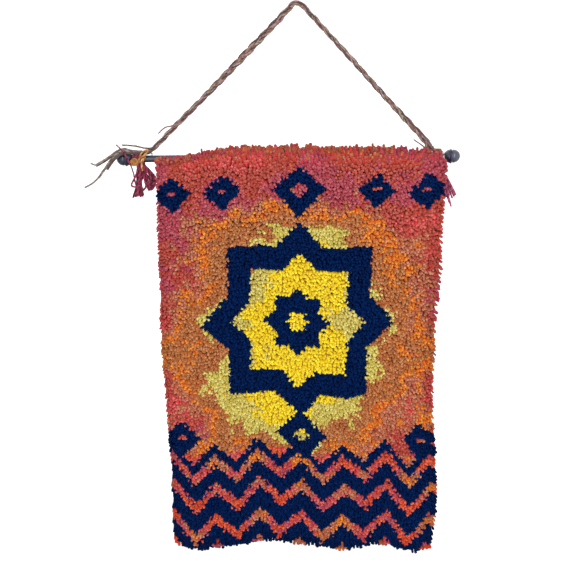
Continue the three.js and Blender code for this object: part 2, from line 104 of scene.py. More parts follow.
def make_camera():
    aim = Vector((-0.0162, 0.0, -0.4986))
    distance = 1.54
    tilt = radians(13.0)
    roll = -0.00875
    forward = Vector((0, cos(tilt), -sin(tilt)))
    level = Vector((1, 0, 0))
    upright = level.cross(forward)
    right = cos(roll) * level + sin(roll) * upright
    up = -sin(roll) * level + cos(roll) * upright
    data = bpy.data.cameras.new("camera")
    data.sensor_width = SENSOR
    data.lens = FOCAL_PIXELS / IMAGE_SIZE * SENSOR
    data.clip_start = 0.05
    camera = bpy.data.objects.new("camera", data)
    bpy.context.collection.objects.link(camera)
    place = aim - forward * distance
    turn = Matrix((right, up, -forward)).transposed().to_4x4()
    camera.matrix_world = Matrix.Translation(place) @ turn
    bpy.context.scene.camera = camera


make_camera()


# Curves

SPAN_SAMPLES = 24


def lengths_along(lines):
    """The distance along a line, or each of many lines, at each of its points."""
    steps = np.linalg.norm(np.diff(lines, axis=-2), axis=-1)
    return np.concatenate([np.zeros_like(steps[..., :1]), np.cumsum(steps, -1)], -1)


def smooth_path(points, step):
    """A centripetal Catmull-Rom curve through the points, sampled at even distances."""
    p = np.array(points, float)
    p = np.vstack([2 * p[0] - p[1], p, 2 * p[-1] - p[-2]])
    samples = []
    for i in range(1, len(p) - 2):
        knots = [0.0]
        for j in range(3):
            gap = np.linalg.norm(p[i + j] - p[i + j - 1])
            knots.append(knots[-1] + max(gap, 1e-9) ** 0.5)
        t0, t1, t2, t3 = knots
        t = np.linspace(t1, t2, SPAN_SAMPLES, endpoint=False)[:, None]

        def blend(a, b, ta, tb):
            return (tb - t) / (tb - ta) * a + (t - ta) / (tb - ta) * b

        a1 = blend(p[i - 1], p[i], t0, t1)
        a2 = blend(p[i], p[i + 1], t1, t2)
        a3 = blend(p[i + 1], p[i + 2], t2, t3)
        samples.append(blend(blend(a1, a2, t0, t2), blend(a2, a3, t1, t3), t1, t2))
    line = np.vstack(samples + [p[-2:-1]])
    along = lengths_along(line)
    count = max(3, int(round(along[-1] / step)) + 1)
    even = np.linspace(0, along[-1], count)
    return np.stack([np.interp(even, along, line[:, k]) for k in range(3)], 1)


def unit(v):
    return v / np.maximum(np.linalg.norm(v, axis=-1, keepdims=True), 1e-12)


def frames_along(lines):
    """Two normals carried along many lines of equal length, each shaped (lines, rings, 3)."""
    tangent = unit(np.gradient(lines, axis=1))
    spare = np.where(np.abs(tangent[:, :1, 2:3]) < 0.9, [[[0, 0, 1.0]]], [[[1.0, 0, 0]]])
    first = unit(np.cross(tangent[:, 0], np.cross(spare[:, 0], tangent[:, 0])))
    normals = [first]
    for ring in range(1, lines.shape[1]):
        t = tangent[:, ring]
        n = normals[-1]
        normals.append(unit(n - np.sum(n * t, 1, keepdims=True) * t))
    normal = np.stack(normals, 1)
    return normal, np.cross(tangent, normal)


def rod_points(rows):
    """Points in metres from rows of (x, y, rise over the rod's axis) in millimetres."""
    return [(x * MM, y * MM, rise * MM + ROD_Z) for x, y, rise in rows]


# Meshes

def build(name, points, loops, sizes, material, uv=None, floats=None):
    """A smooth mesh from its faces' corners in one row and their sizes, with its map and attributes."""
    mesh = bpy.data.meshes.new(name)
    mesh.vertices.add(len(points))
    mesh.vertices.foreach_set("co", np.asarray(points, np.float32).ravel())
    mesh.loops.add(len(loops))
    mesh.loops.foreach_set("vertex_index", np.asarray(loops, np.int32))
    mesh.polygons.add(len(sizes))
    mesh.polygons.foreach_set("loop_start", np.append(0, np.cumsum(sizes)[:-1]))
    mesh.polygons.foreach_set("loop_total", np.asarray(sizes, np.int32))
    mesh.polygons.foreach_set("use_smooth", np.full(len(sizes), True))
    if uv is not None:
        layer = mesh.uv_layers.new(name="yarn")
        layer.data.foreach_set("uv", np.asarray(uv, np.float32).ravel())
    for key, values in (floats or {}).items():
        attribute = mesh.attributes.new(key, "FLOAT", "POINT")
        attribute.data.foreach_set("value", np.asarray(values, np.float32))
    mesh.update(calc_edges=True)
    mesh.validate()
    mesh.materials.append(material)
    obj = bpy.data.objects.new(name, mesh)
    bpy.context.collection.objects.link(obj)
    return obj


def ring_quads(rings, sides):
    """Quads between each two neighbouring rings of a tube."""
    ring = np.arange(rings - 1)[:, None] * sides
    j = np.arange(sides)[None, :]
    k = (j + 1) % sides
    return np.stack([ring + j, ring + k, ring + sides + k, ring + sides + j], -1).reshape(-1, 4)


def tube_uv(length, sides):
    """Each corner's share of the way round its tube and its distance along it."""
    count, rings = length.shape
    around = np.arange(sides) / sides
    u0 = np.tile(around, (rings - 1, 1))
    u1 = u0 + 1 / sides
    u = np.concatenate([np.stack([u0, u1, u1, u0], -1).ravel(), around, around])
    low, high = length[:, :-1], length[:, 1:]
    v = np.repeat(np.stack([low, low, high, high], -1), sides, axis=1).reshape(count, -1)
    caps = np.repeat(length[:, [0, -1]], sides, 1)
    return np.stack(np.broadcast_arrays(u, np.concatenate([v, caps], 1)), -1).reshape(-1, 2)


def tube_arrays(lines, radii, sides, tones, roll=0.0):
    """Closed tubes on many lines of equal ring count: points, loops, sizes, uv and attributes."""
    lines = np.asarray(lines, float)
    count, rings, _ = lines.shape
    normal, side_way = frames_along(lines)
    radii = np.broadcast_to(radii, (count, rings))
    angle = np.arange(sides) / sides * tau + np.reshape(roll, (-1, 1, 1))
    spoke = (np.cos(angle)[..., None] * normal[:, :, None, :]
             + np.sin(angle)[..., None] * side_way[:, :, None, :])
    points = lines[:, :, None, :] + spoke * radii[:, :, None, None]
    quads = ring_quads(rings, sides)
    start = np.arange(sides)
    pattern = np.concatenate([quads.ravel(), start[::-1], (rings - 1) * sides + start])
    loops = (pattern + (np.arange(count) * rings * sides)[:, None]).ravel()
    sizes = np.tile(np.concatenate([np.full(len(quads), 4), [sides, sides]]), count)
    length = lengths_along(lines)
    share = length / np.maximum(length[:, -1:], 1e-9)
    floats = {"tone": np.repeat(tones, rings * sides), "tip": np.repeat(share.ravel(), sides)}
    return points.reshape(-1, 3), loops, sizes, tube_uv(length, sides), floats


def joined_tubes(name, batches, material):
    """One mesh from several batches of tube_arrays."""
    points, loops, sizes, uvs, floats = zip(*batches)
    starts = np.cumsum([0] + [len(part) for part in points[:-1]])
    loops = [part + start for part, start in zip(loops, starts)]
    floats = {key: np.concatenate([part[key] for part in floats]) for key in ("tone", "tip")}
    return build(name, np.concatenate(points), np.concatenate(loops), np.concatenate(sizes), material,
                 np.concatenate(uvs), floats)


# A ply's radius as a share of its yarn's, how much narrower it ends and how its width swells along it
PLY_SHARE = 0.56
PLY_END = 0.7
SWELL = 0.07
SWELL_LENGTH = 7 * MM


def plied(line, radius, rng, plies=3, pitch=11 * MM, sides=6):
    """A yarn on a line: plies twisted round it, each with its own tone and a narrower end."""
    radius = np.broadcast_to(radius, (len(line),))
    line = np.asarray(line)
    normal, side_way = frames_along(line[None])
    steps = lengths_along(line)
    ply = radius * PLY_SHARE
    out = radius - ply
    batches = []
    phase = rng.random() * tau
    for i in range(plies):
        turn = phase + steps / pitch * tau + i * tau / plies
        centre = (line + (out * np.cos(turn))[:, None] * normal[0]
                  + (out * np.sin(turn))[:, None] * side_way[0])
        swell = 1 + SWELL * np.sin(steps / SWELL_LENGTH + rng.random() * 6)
        radii = ply * swell
        radii[-1] *= PLY_END
        batches.append(tube_arrays(centre[None], radii[None], sides, [rng.random()]))
    return batches


def strand(route, radius, rng, step=2.2):
    """A yarn on a route that is given from the rod's axis, all in millimetres."""
    return plied(smooth_path(rod_points(route), step * MM), radius * MM, rng)


HAIRS = 420
HAIR_REACH = 3.4 * MM
HAIR_RADII = np.array([0.14, 0.12, 0.06]) * MM


def fuzz(lines, count, reach, rng):
    """Fine hairs that stand off some yarns."""
    hairs = []
    for _ in range(count):
        line = lines[rng.integers(len(lines))]
        i = rng.integers(1, len(line) - 1)
        along = unit(line[i + 1] - line[i - 1])
        away = unit(rng.normal(size=3))
        away = unit(away - away.dot(along) * along * 0.6)
        root = line[i] + away * reach * 0.3
        bend = unit(away + 0.8 * along * rng.choice([-1, 1]))
        size = reach * (0.5 + rng.random())
        elbow = root + away * size * 0.5
        hairs.append([root, elbow, elbow + bend * size * 0.6])
    radii = np.broadcast_to(HAIR_RADII, (count, 3))
    return tube_arrays(np.array(hairs), radii, 3, rng.random(count))


# Materials

def srgb(code):
    value = [int(code[i:i + 2], 16) / 255 for i in (0, 2, 4)]
    return tuple(c / 12.92 if c <= 0.04045 else ((c + 0.055) / 1.055) ** 2.4 for c in value) + (1,)


class Nodes:
    """A small helper to lay out a material's nodes."""

    def __init__(self, name):
        self.material = bpy.data.materials.new(name)
        self.material.use_nodes = True
        self.tree = self.material.node_tree
        self.shader = self.tree.nodes["Principled BSDF"]

    def feed(self, socket, value):
        if isinstance(value, bpy.types.NodeSocket):
            self.tree.links.new(value, socket)
        else:
            socket.default_value = value

    def add(self, kind, sockets=(), **settings):
        """A new node with its settings, and values or links for some of its sockets."""
        node = self.tree.nodes.new(kind)
        for key, value in settings.items():
            setattr(node, key, value)
        for key, value in dict(sockets).items():
            self.feed(node.inputs[key], value)
        return node

    def set(self, **values):
        """Values or links for the shader's sockets, whose names have spaces for underscores."""
        for key, value in values.items():
            self.feed(self.shader.inputs[key.replace("_", " ")], value)

    def math(self, operation, a, b=0.0):
        return self.add("ShaderNodeMath", {0: a, 1: b}, operation=operation).outputs[0]

    def times(self, a, b):
        return self.math("MULTIPLY", a, b)

    def plus(self, a, b):
        return self.math("ADD", a, b)

    def mix(self, factor, a, b, blend="MIX"):
        sockets = {0: factor, 6: a, 7: b}
        return self.add("ShaderNodeMix", sockets, data_type="RGBA", blend_type=blend).outputs[2]

    def attribute(self, name):
        return self.add("ShaderNodeAttribute", attribute_name=name).outputs["Fac"]

    def on_object(self):
        return self.add("ShaderNodeTexCoord").outputs["Object"]

    def yarn_uv(self):
        """The two coordinates of the mesh's map."""
        uv = self.add("ShaderNodeUVMap", uv_map="yarn").outputs[0]
        return self.add("ShaderNodeSeparateXYZ", {0: uv}).outputs[:2]

    def noise(self, scale, detail=2.0, roughness=0.5, coordinates=None):
        sockets = {"Scale": scale, "Detail": detail, "Roughness": roughness,
                   "Vector": coordinates or self.on_object()}
        return self.add("ShaderNodeTexNoise", sockets).outputs["Fac"]

    def ramp(self, factor, stops):
        node = self.add("ShaderNodeValToRGB", {0: factor})
        elements = node.color_ramp.elements
        while len(elements) < len(stops):
            elements.new(0.5)
        for element, (place, colour) in zip(elements, stops):
            element.position = place
            element.color = colour
        return node.outputs[0]

    def fade(self, factor, *stops):
        """A ramp of greys, from stops of (place, value)."""
        return self.ramp(factor, [(place, (value,) * 3 + (1,)) for place, value in stops])

    def bump(self, height, strength, distance, normal=None):
        sockets = {"Height": height, "Strength": strength, "Distance": distance}
        if normal:
            sockets["Normal"] = normal
        return self.add("ShaderNodeBump", sockets).outputs[0]


TWIST_PLIES = 3
TWIST_PITCH = 8 * MM


def yarn_material(name, dark, middle, light, root=1.0, sheen=0.3, fleck=None, bump=0.6, gloss=0.25,
                  ends=0.3, tip_highlight_tone=None, painted_shading_below=None, furrow_shade=0.62):
    """Acrylic rug yarn: tones from strand to strand, twisted plies, fine fibres and a soft sheen."""
    n = Nodes(name)
    tone = n.attribute("tone")
    shade = n.plus(n.times(tone, 0.7), n.times(n.noise(900, 3.0), 0.4))
    colour = n.ramp(shade, [(0.15, srgb(dark)), (0.5, srgb(middle)), (0.9, srgb(light))])
    if fleck:
        colour = n.mix(n.fade(n.noise(110, 3.0, 0.6), (0.5, 0), (0.62, 1)), colour, srgb(fleck))
    tip = n.attribute("tip")
    # Painted highlight: each yarn's cut end is lightened towards a paler tone
    cut = n.fade(tip, (0.93, 0), (1.0, ends))
    if painted_shading_below:
        cut = n.times(cut, n.fade(tone, (0.35, 0.25), (0.75, 1)))
    colour = n.mix(cut, colour, srgb(tip_highlight_tone or light))
    # Painted light: just below the cut ends, in the pile's shaded gaps, the colour turns to a brighter,
    # warmer glow tone
    if painted_shading_below:
        below = n.times(n.fade(tip, (0.78, 0.85), (0.94, 0)), n.fade(tone, (0.1, 0), (0.35, 1)))
        colour = n.mix(below, colour, srgb(painted_shading_below))
    # Painted shade: with root below 1 the colour darkens towards each tuft's base, as shade deep in the pile
    colour = n.mix(1.0, colour, n.fade(tip, (0.0, root), (0.75, 1)), "MULTIPLY")
    round_it, along_it = n.yarn_uv()
    phase = n.plus(n.times(round_it, TWIST_PLIES * tau),
                   n.times(along_it, tau * TWIST_PLIES / TWIST_PITCH))
    fold = n.times(n.plus(n.math("SINE", phase), 1.0), 0.5)
    # Painted shade: the colour darkens in the furrows between the twisted plies
    colour = n.mix(0.8, colour, n.fade(fold, (0.0, furrow_shade), (0.45, 1)), "MULTIPLY")
    fibre = n.bump(n.noise(2600, 2.0, 0.7), 0.35, 0.15 * MM, n.bump(fold, bump, 0.4 * MM))
    n.set(Base_Color=colour, Normal=fibre, Roughness=0.85, Specular_IOR_Level=gloss,
          Sheen_Weight=sheen, Sheen_Roughness=0.5)
    return n.material


# Each pile yarn's dark, middle and light tone, its cut ends' painted highlight tone and the painted glow
# tone just below them, in the shaded gaps
PILE_YARNS = {
    "red": ("98352a", "a03729", "b04838", "ca7569", "d83c2c"),
    "coral": ("a73533", "b43b38", "c7514d", "e2837f", "ef3c38"),
    "vermilion": ("ad3218", "bc3b1e", "d0562f", "ea825d", "e23c1e"),
    "plum": ("92323e", "993541", "aa4854", "c8747f", "ec4558"),
    "rust": ("90492b", "9f5433", "b36c4d", "d1a187", "e76c38"),
    "orange": ("b1540c", "c25f10", "d67922", "ecae4a", "f56c00"),
    "tan": ("8e4f21", "9c5827", "b37240", "cd996c", "e37424"),
    "gold": ("a69739", "b6a444", "cbc15f", "e3df9e", "f3d748"),
    "yellow": ("caa604", "dcba06", "ebd41a", "eeec4c", "ecc500"),
    "navy": ("001135", "001540", "012051", "012558", "00235e"),
}
# Each plait yarn's tones, the tone of its flecks and how dark the painted shade in its furrows is
PLAIT_TONES = {
    "mauve": ("503a3c", "8c6c6e", "c8b0ac", "7c4a4c", 0.5),
    "olive": ("484030", "807558", "c2b894", "8c6a44", 0.5),
    "rose": ("603230", "965a56", "c49a8e", "6c5048", 0.5),
    "umber": ("1e1416", "3a2a2a", "64504e", "4a302c", 0.6),
    "ash": ("3a322e", "6a605a", "a0968c", "64463e", 0.5),
    "moss": ("6a5c24", "958238", "c0ac5c", "7a4a34", 0.62),
}


def pile_materials():
    made = {}
    for name, (dark, middle, light, cut, painted_shading_below) in PILE_YARNS.items():
        sheen = 0.0 if name == "navy" else 0.15
        made[name] = yarn_material("yarn_" + name, dark, middle, light, root=0.85, sheen=sheen, bump=0.5,
                                   gloss=0.05, ends=0.5, tip_highlight_tone=cut, painted_shading_below=painted_shading_below, furrow_shade=0.78)
    return made


def plait_materials():
    return {name: yarn_material("plait_" + name, *tones, fleck=fleck, bump=0.7, furrow_shade=furrow_shade)
            for name, (*tones, fleck, furrow_shade) in PLAIT_TONES.items()}


# The cloth's shape, as in the solids: x and rise give where its canvas hangs

def table(rows, place):
    """A value looked up in rows of millimetres, for a place in metres."""
    keys, values = zip(*rows)
    return np.interp(np.asarray(place) / MM, keys, values) * MM


def smoothstep(value, low, high):
    t = np.clip((np.asarray(value) - low) / (high - low), 0, 1)
    return t * t * (3 - 2 * t)


def cloth_back(x, rise):
    """The y of the cloth's back."""
    hang = smoothstep(-rise, 0, SWING_DROP)
    low = smoothstep(-rise, SWING_DROP, 3 * SWING_DROP)
    wave = np.sin((x + 70 * MM) / (41 * MM)) * low
    wave = wave + 0.6 * np.sin((x - rise * 0.5) / (29 * MM)) * low
    return -ROD_RADIUS - ROD_GAP - 0.5 * MM + CLOTH_SWING * hang + RIPPLE * wave


def in_pocket(x):
    return (x > POCKET_LEFT) & (x < POCKET_RIGHT)


def canvas_place(x, s):
    """Where the canvas lies at x, at height s along it from the rod's axis, and which way it faces."""
    x = np.asarray(x, float)
    s = np.asarray(s, float)
    over = in_pocket(x) & (s > 0)
    angle = np.where(over, s / POCKET_RADIUS, 0)
    flat_y = cloth_back(x, s) - 0.7 * MM
    y = np.where(over, -POCKET_RADIUS * np.cos(angle), flat_y)
    rise = np.where(over, POCKET_RADIUS * np.sin(angle), s)
    place = np.stack([x, y, rise + ROD_Z], -1)
    face = np.stack([np.zeros_like(x), -np.cos(angle), np.sin(angle)], -1)
    return place, face


# How far the hooked rows lie inside the outline: by rise for the sides, by x for the others
LEFT_IN = [(-745, 0), (-700, 1), (-600, 0), (-480, 0), (-400, -0.5), (-350, -4), (-315, -3), (-270, -1.5),
           (-200, 0.5), (-100, 0.5), (0, 2)]
RIGHT_IN = [(-700, 2.2), (-620, 1.6), (-580, 2.8), (-545, 0.6), (-513, -1.2), (-486, 3.2), (-455, 5.2),
            (-396, 5.6), (-350, 1.6), (-306, 3), (-252, 0.8), (-180, 1), (-108, 2.4), (0, 4)]
LOW_IN = [
    (-248, 2), (-200, 3), (-176, 5.5), (-150, 4.5), (-120, 2), (-60, 3), (-40, 3), (0, 0), (30, 2), (90, 2),
    (102, 6.5), (126, 6), (150, 7), (168, 10), (186, 5), (204, 4), (221, 1.8), (245, -1), (262, 0)
]
TOP_IN = [(-260, 7), (-192, 7), (-175, 4.5), (205, 4.5), (222, 6), (260, 6)]
TURN_STOP = radians(62)
# The hooked rows' lowest place and height, near enough to look up the side edges
ROWS_LOW = -0.742
ROWS_HEIGHT = 0.745


def knot_top(x):
    """The height along the canvas of the last hooked row."""
    flat = table(TOP_EDGE, x) - table(TOP_IN, x)
    over = np.minimum((table(TOP_EDGE, x) - 12 * MM), POCKET_RADIUS * TURN_STOP)
    return np.where(in_pocket(x), over, flat)


def crest_drop(x):
    """How much lower the hooked tips end than the outline, which tufts of some width make."""
    rows = [(-260, 5), (-190, 4.5), (-140, 0), (190, 0), (212, 1.5), (228, 3), (237, 5), (260, 5.5)]
    return table(rows, x)


def knot_place(across, up):
    """A place on the hooked panel from its shares: its x and its height along the canvas."""
    rise = ROWS_LOW + ROWS_HEIGHT * up
    left = table(LEFT_EDGE, rise) + table(LEFT_IN, rise)
    right = table(RIGHT_EDGE, rise) - table(RIGHT_IN, rise)
    x = left + (right - left) * across
    bottom = table(BOTTOM_EDGE, x) + table(LOW_IN, x)
    return x, bottom + (knot_top(x) - bottom) * up


# The design: a stepped eight-pointed star over zigzag rows, charted on the knot grid by formula

LATTICE = 64


def value_noise(x, y, cell, rng):
    """Smooth noise from 0 to 1 over the knot grid."""
    lattice = rng.random((LATTICE, LATTICE))
    gx = x / cell
    gy = y / cell
    ix = np.floor(gx).astype(int)
    iy = np.floor(gy).astype(int)
    fx = smoothstep(gx - ix, 0, 1)
    fy = smoothstep(gy - iy, 0, 1)

    def at(a, b):
        return lattice[a % LATTICE, b % LATTICE]

    low = at(ix, iy) * (1 - fx) + at(ix + 1, iy) * fx
    high = at(ix, iy + 1) * (1 - fx) + at(ix + 1, iy + 1) * fx
    return low * (1 - fy) + high * fy


# The star's rings: the half widths of the square and the diamond that make each outer and inner star
STAR_ROW = 62
STAR_RINGS = (((19, 26), (13, 18)), ((6, 9), (2, 3)))
# Rows of diamonds: the row of their middles, and the small ones' distances from the middle column
DIAMOND_ROWS = ((STAR_ROW + 34, (20, 33)), (STAR_ROW - 31, (33,)))
DIAMOND = (2, 7)
SMALL_DIAMOND = (1, 4.5)
# Zigzag bands: the row that each starts from and how many rows thick it is
ZIGZAGS = ((-4, 5), (4, 6), (13, 5), (21, 3))
ZIGZAG_WIDTH = 12
ZIGZAG_TOP = 27

# The ground glows round a middle row: its reach in knots, then each band's outer limit and yarn
GLOW_ROW = 56
GLOW_WIDE = 34
GLOW_UP = 46
GLOW_DOWN = 40
BANDS = [(0.48, "yellow"), (0.71, "gold"), (0.9, "tan"), (0.98, "orange"), (1.08, "rust"), (9.0, "red")]
LOW_BANDS = [(0.3, "orange"), (0.54, "rust"), (0.72, "coral"), (0.88, "plum"), (2.0, "vermilion")]
BRIM_BANDS = [(0.35, "plum"), (0.75, "rust"), (1.0, "red")]


def banded(reach, bands):
    """The name of the first band whose limit isn't passed."""
    names = np.full(reach.shape, bands[-1][1], dtype=object)
    for limit, name in reversed(bands):
        names[reach <= limit] = name
    return names


def ground(column, row, dx, rng):
    """The ground's yarns: a glow, patches in its red, a brim at the top and patches under the zigzags."""
    warp = 0.36 * (value_noise(column, row, 9.0, rng) - 0.5)
    warp = warp + 0.2 * (value_noise(column, row, 3.2, rng) - 0.5)
    loose = 0.1 * (rng.random(column.shape) - 0.5)
    rise = row - GLOW_ROW
    glow = np.hypot(dx / GLOW_WIDE, rise / np.where(rise > 0, GLOW_UP, GLOW_DOWN))
    glow = glow + 0.4 * smoothstep(row, 84, 102)
    names = banded(glow + warp + loose, BANDS)
    cloud = value_noise(column, row, 8.0, rng) + 0.25 * (rng.random(column.shape) - 0.5)
    high = row > STAR_ROW + 14
    names[(names == "red") & (cloud > np.where(high, 0.5, 0.78))] = "plum"
    names[(names == "red") & (cloud < np.where(high, 0.06, 0.3))] = "coral"
    # The top rows take plum, rust and red yarns, partly yarn colour and partly standing in for painted shade
    # along the top fringe
    brim = (row > KNOT_ROWS - 4.5 + 2 * (rng.random(row.shape) - 0.5)) & (rng.random(row.shape) < 0.75)
    edge = rng.random(row.shape) * (1 - 0.6 * smoothstep(column, 54, 66))
    names[brim] = banded(edge, BRIM_BANDS)[brim]
    low = row < ZIGZAG_TOP
    patch = value_noise(column, row, 6.0, rng) + 0.3 * (rng.random(column.shape) - 0.5)
    names[low] = banded(patch * 1.1 + (ZIGZAG_TOP - row) / 110, LOW_BANDS)[low]
    return names


def star(dx, dy, square, diamond):
    return (np.maximum(dx, dy) <= square) | (dx + dy <= diamond)


def between(value, limits):
    return (value > limits[0]) & (value <= limits[1])


def figures(column, row, dx):
    """Which knots belong to the star, the diamonds and the zigzags."""
    dy = np.abs(row - STAR_ROW)
    navy = np.zeros(row.shape, bool)
    for outer, inner in STAR_RINGS:
        navy |= star(dx, dy, *outer) & ~star(dx, dy, *inner)
    for centre, sides in DIAMOND_ROWS:
        off = np.abs(row - centre)
        navy |= between(dx + off, DIAMOND)
        for side in sides:
            navy |= between(np.abs(dx - side) + off, SMALL_DIAMOND)
    stair = np.abs((column % ZIGZAG_WIDTH) - ZIGZAG_WIDTH / 2)
    for base, thick in ZIGZAGS:
        level = row - base - stair
        navy |= (level >= 0) & (level < thick)
    return navy


def chart(column, row, rng):
    """The yarn's name for each knot."""
    dx = np.abs(column - (KNOT_COLUMNS - 1) / 2)
    names = ground(column, row, dx, rng)
    names[figures(column, row, dx)] = "navy"
    return names


# The pile

KNOT_WANDER = 0.07
LEGS = (-1, 0, 1)
LEG_SPACING = 2.1 * MM
LEG_RISE = 2.4 * MM
# A tuft bends in three steps: the share of its tilt and the share of its length that each takes
TUFT_BENDS = ((0.55, 0.5), (1.0, 0.42), (1.15, 0.08))


def knot_grid(rng):
    """Each knot's column, row and yarn, its x and its height along the canvas."""
    column, row = np.meshgrid(np.arange(KNOT_COLUMNS), np.arange(KNOT_ROWS))
    column = column.ravel()
    row = row.ravel()
    names = chart(column.astype(float), row.astype(float), rng)
    across = (column + 0.5 + rng.normal(0, KNOT_WANDER, column.shape)) / KNOT_COLUMNS
    below = KNOT_ROWS - 1 - row + 0.5 + rng.normal(0, KNOT_WANDER, row.shape)
    closer = below - TOP_CLOSE * np.minimum(below, TOP_CLOSE_ROWS)
    up = 1 - closer / (KNOT_ROWS - TOP_CLOSE * TOP_CLOSE_ROWS)
    return (column, row, names, *knot_place(across, up))


class Edges:
    """How near each knot is to each edge of the pile and to the fold at its right, from 0 to 1."""

    def __init__(self, column, row):
        self.row = row
        self.from_top = KNOT_ROWS - 1 - row
        self.last = self.from_top < 1
        self.left = np.clip(1 - column / 2.0, 0, 1)
        self.right = np.clip(1 - (KNOT_COLUMNS - 1 - column) / 2.5, 0, 1)
        self.top = 1 - smoothstep(self.from_top, 0, TOP_ROWS)
        self.low = 1 - smoothstep(row, 0, LOW_ROWS)
        self.brim = 1 - smoothstep(self.from_top, 0, 4)
        self.fold = ((column > KNOT_COLUMNS - 10) * smoothstep(self.from_top, 6, 12)
                     * (1 - smoothstep(self.from_top, 26, 32)))


def tuft_length(at, rng):
    uneven = 0.07 + 0.05 * at.low + 0.1 * at.last
    return TUFT_LENGTH * (1 + np.clip(rng.normal(0, 1, at.row.shape), -2, 1.1 - 0.7 * at.low) * uneven)


def tuft_sideways(at, leg, whorl, rng):
    """How far a tuft leans to the right, which the side edges limit."""
    lean = 0.4 * whorl + rng.normal(0, 0.11, whorl.shape) * (1 - 0.5 * at.low) + leg * 0.05
    lean = np.where(at.left > 0, np.clip(lean, -0.08, 0.3), lean)
    lean = np.where(at.right > 0, np.clip(lean, -0.2, 0.15), lean)
    return lean + 0.22 * at.right * smoothstep(at.from_top, 4, 9) * smoothstep(at.row, -6, 22)


def tuft_tilt(at, x, rise, nod, rng):
    """A tuft's tilt: towards the outline's crest near the top, and steeply down at the lower rim."""
    reach = (table(TOP_EDGE, x) - crest_drop(x) - rise) / TUFT_LENGTH / 0.83
    reach = np.clip(reach + rng.normal(-0.03, 0.09, x.shape) * (1 + at.last), -0.25, 0.97)
    tilt = DROOP + radians(16) * nod + rng.normal(0, radians(6), x.shape)
    tilt = tilt + (np.arcsin(reach) - tilt) * at.top
    tilt = tilt + rng.normal(0, radians(7), x.shape) * (at.from_top < TOP_ROWS)
    return tilt + (LOW_DROOP + rng.normal(0, radians(11), x.shape) - tilt) * at.low


def tuft_radii(at, rng):
    """The radius at each of a tuft's four points, wider in the open pile than at its edges."""
    width = TUFT_RADIUS * (1 + rng.normal(0, 0.08, at.row.shape))
    body = np.where((at.left + at.right * 0.4 + at.top * 0.5 + at.low * 0.5) > 0.2, 1.0, 1.24)
    body = body * (1 + 0.2 * at.fold + 0.12 * at.low)
    middle = 1.22 + 0.15 * at.fold + 0.12 * at.low
    return width[:, None] * np.stack([0.9 * body, body, middle, np.full_like(body, 0.8)], -1)


def pile(materials):
    """The tufts, a piece for each yarn, and each knot's x, height along the canvas and yarn."""
    rng = np.random.default_rng(7)
    column, row, names, x, s = knot_grid(rng)
    whorl = value_noise(column, row, 7.0, rng) - 0.5
    nod = value_noise(column, row, 5.0, rng) - 0.5
    at = Edges(column, row)
    # Tufts near the pile's outer edges, the top rows most, get a lower tone below: darker, with less painted
    # highlight and glow; at the top fringe this is painted shade
    outer = np.maximum(at.brim, 0.7 * np.maximum(np.maximum(at.left, at.right), at.low))
    legs = []
    for leg in LEGS:
        root, _ = canvas_place(x + leg * LEG_SPACING, s + (leg == 0) * LEG_RISE * (at.from_top > 0))
        length = tuft_length(at, rng)
        sideways = tuft_sideways(at, leg, whorl, rng)
        tilt = tuft_tilt(at, x, root[:, 2] - ROD_Z, nod, rng)
        path = [root]
        for share, step in TUFT_BENDS:
            angle = tilt * share
            way = np.stack([sideways * share, -np.cos(angle), np.sin(angle)], -1)
            path.append(path[-1] + unit(way) * (length * step)[:, None])
        tone = np.clip(rng.normal(0.5, 0.2, x.shape) - 0.5 * outer, 0, 1)
        legs.append((np.stack(path, 1), tone, tuft_radii(at, rng), rng.random(x.shape) * tau))
    lines, tones, radii, rolls = (np.concatenate(parts) for parts in zip(*legs))
    owner = np.tile(names, len(LEGS))
    low_part = np.tile(row < KNOT_ROWS * 0.3, len(LEGS))
    pieces = []
    for name in PILE_YARNS:
        groups = {"pile_" + name: owner == name}
        if name == "navy":
            groups = {"pile_navy": (owner == name) & ~low_part,
                      "pile_navy_low": (owner == name) & low_part}
        for label, mine in groups.items():
            arrays = tube_arrays(lines[mine], radii[mine], 4, tones[mine], rolls[mine])
            pieces.append(build(label, *arrays[:3], materials[name], *arrays[3:]))
    return pieces, (x, s, names)


# A knot's back: half its width, height and depth, and its shape as corners and faces
BACK_HALF = np.array([3.0, 2.3, 1.6]) * MM
BACK_CORNERS = np.array([(-1, -1, 0), (1, -1, 0), (1, 1, 0), (-1, 1, 0), (-0.72, 0, 1), (0.72, 0, 1)])
BACK_FACES = [(0, 4, 5, 1), (3, 2, 5, 4), (0, 3, 4), (1, 5, 2)]


def knot_backs(knots, materials):
    """The loop of each knot, which lies across the canvas at its back."""
    rng = np.random.default_rng(21)
    x, s, names = knots
    pattern = np.concatenate(BACK_FACES)
    sizes = np.array([len(face) for face in BACK_FACES])
    corners = len(BACK_CORNERS)
    sideways = np.array([1.0, 0, 0])
    uv_one = np.stack([BACK_CORNERS[pattern, 1] * 0.25, BACK_CORNERS[pattern, 0] * 2.7 * MM], -1)
    pieces = []
    for name in PILE_YARNS:
        mine = names == name
        place, face = canvas_place(x[mine], s[mine])
        count = len(place)
        place = place - face * (CANVAS_THICKNESS / 2)
        up = np.cross(face, sideways)
        size = BACK_HALF * (1 + rng.normal(0, 0.08, (count, 1)))
        grid = BACK_CORNERS[None] * size[:, None, :]
        tilt = rng.normal(0, 0.12, count)[:, None, None]
        points = (place[:, None, :] + grid[..., 0:1] * (sideways + tilt * up[:, None, :])
                  + grid[..., 1:2] * up[:, None, :] - grid[..., 2:3] * face[:, None, :])
        loops = (pattern[None] + (np.arange(count) * corners)[:, None]).ravel()
        floats = {"tone": np.repeat(rng.random(count), corners), "tip": np.full(count * corners, 0.94)}
        pieces.append(build("knots_" + name, points.reshape(-1, 3), loops, np.tile(sizes, count),
                            materials[name], np.tile(uv_one, (count, 1)), floats))
    return pieces


# The canvas with its rod pocket

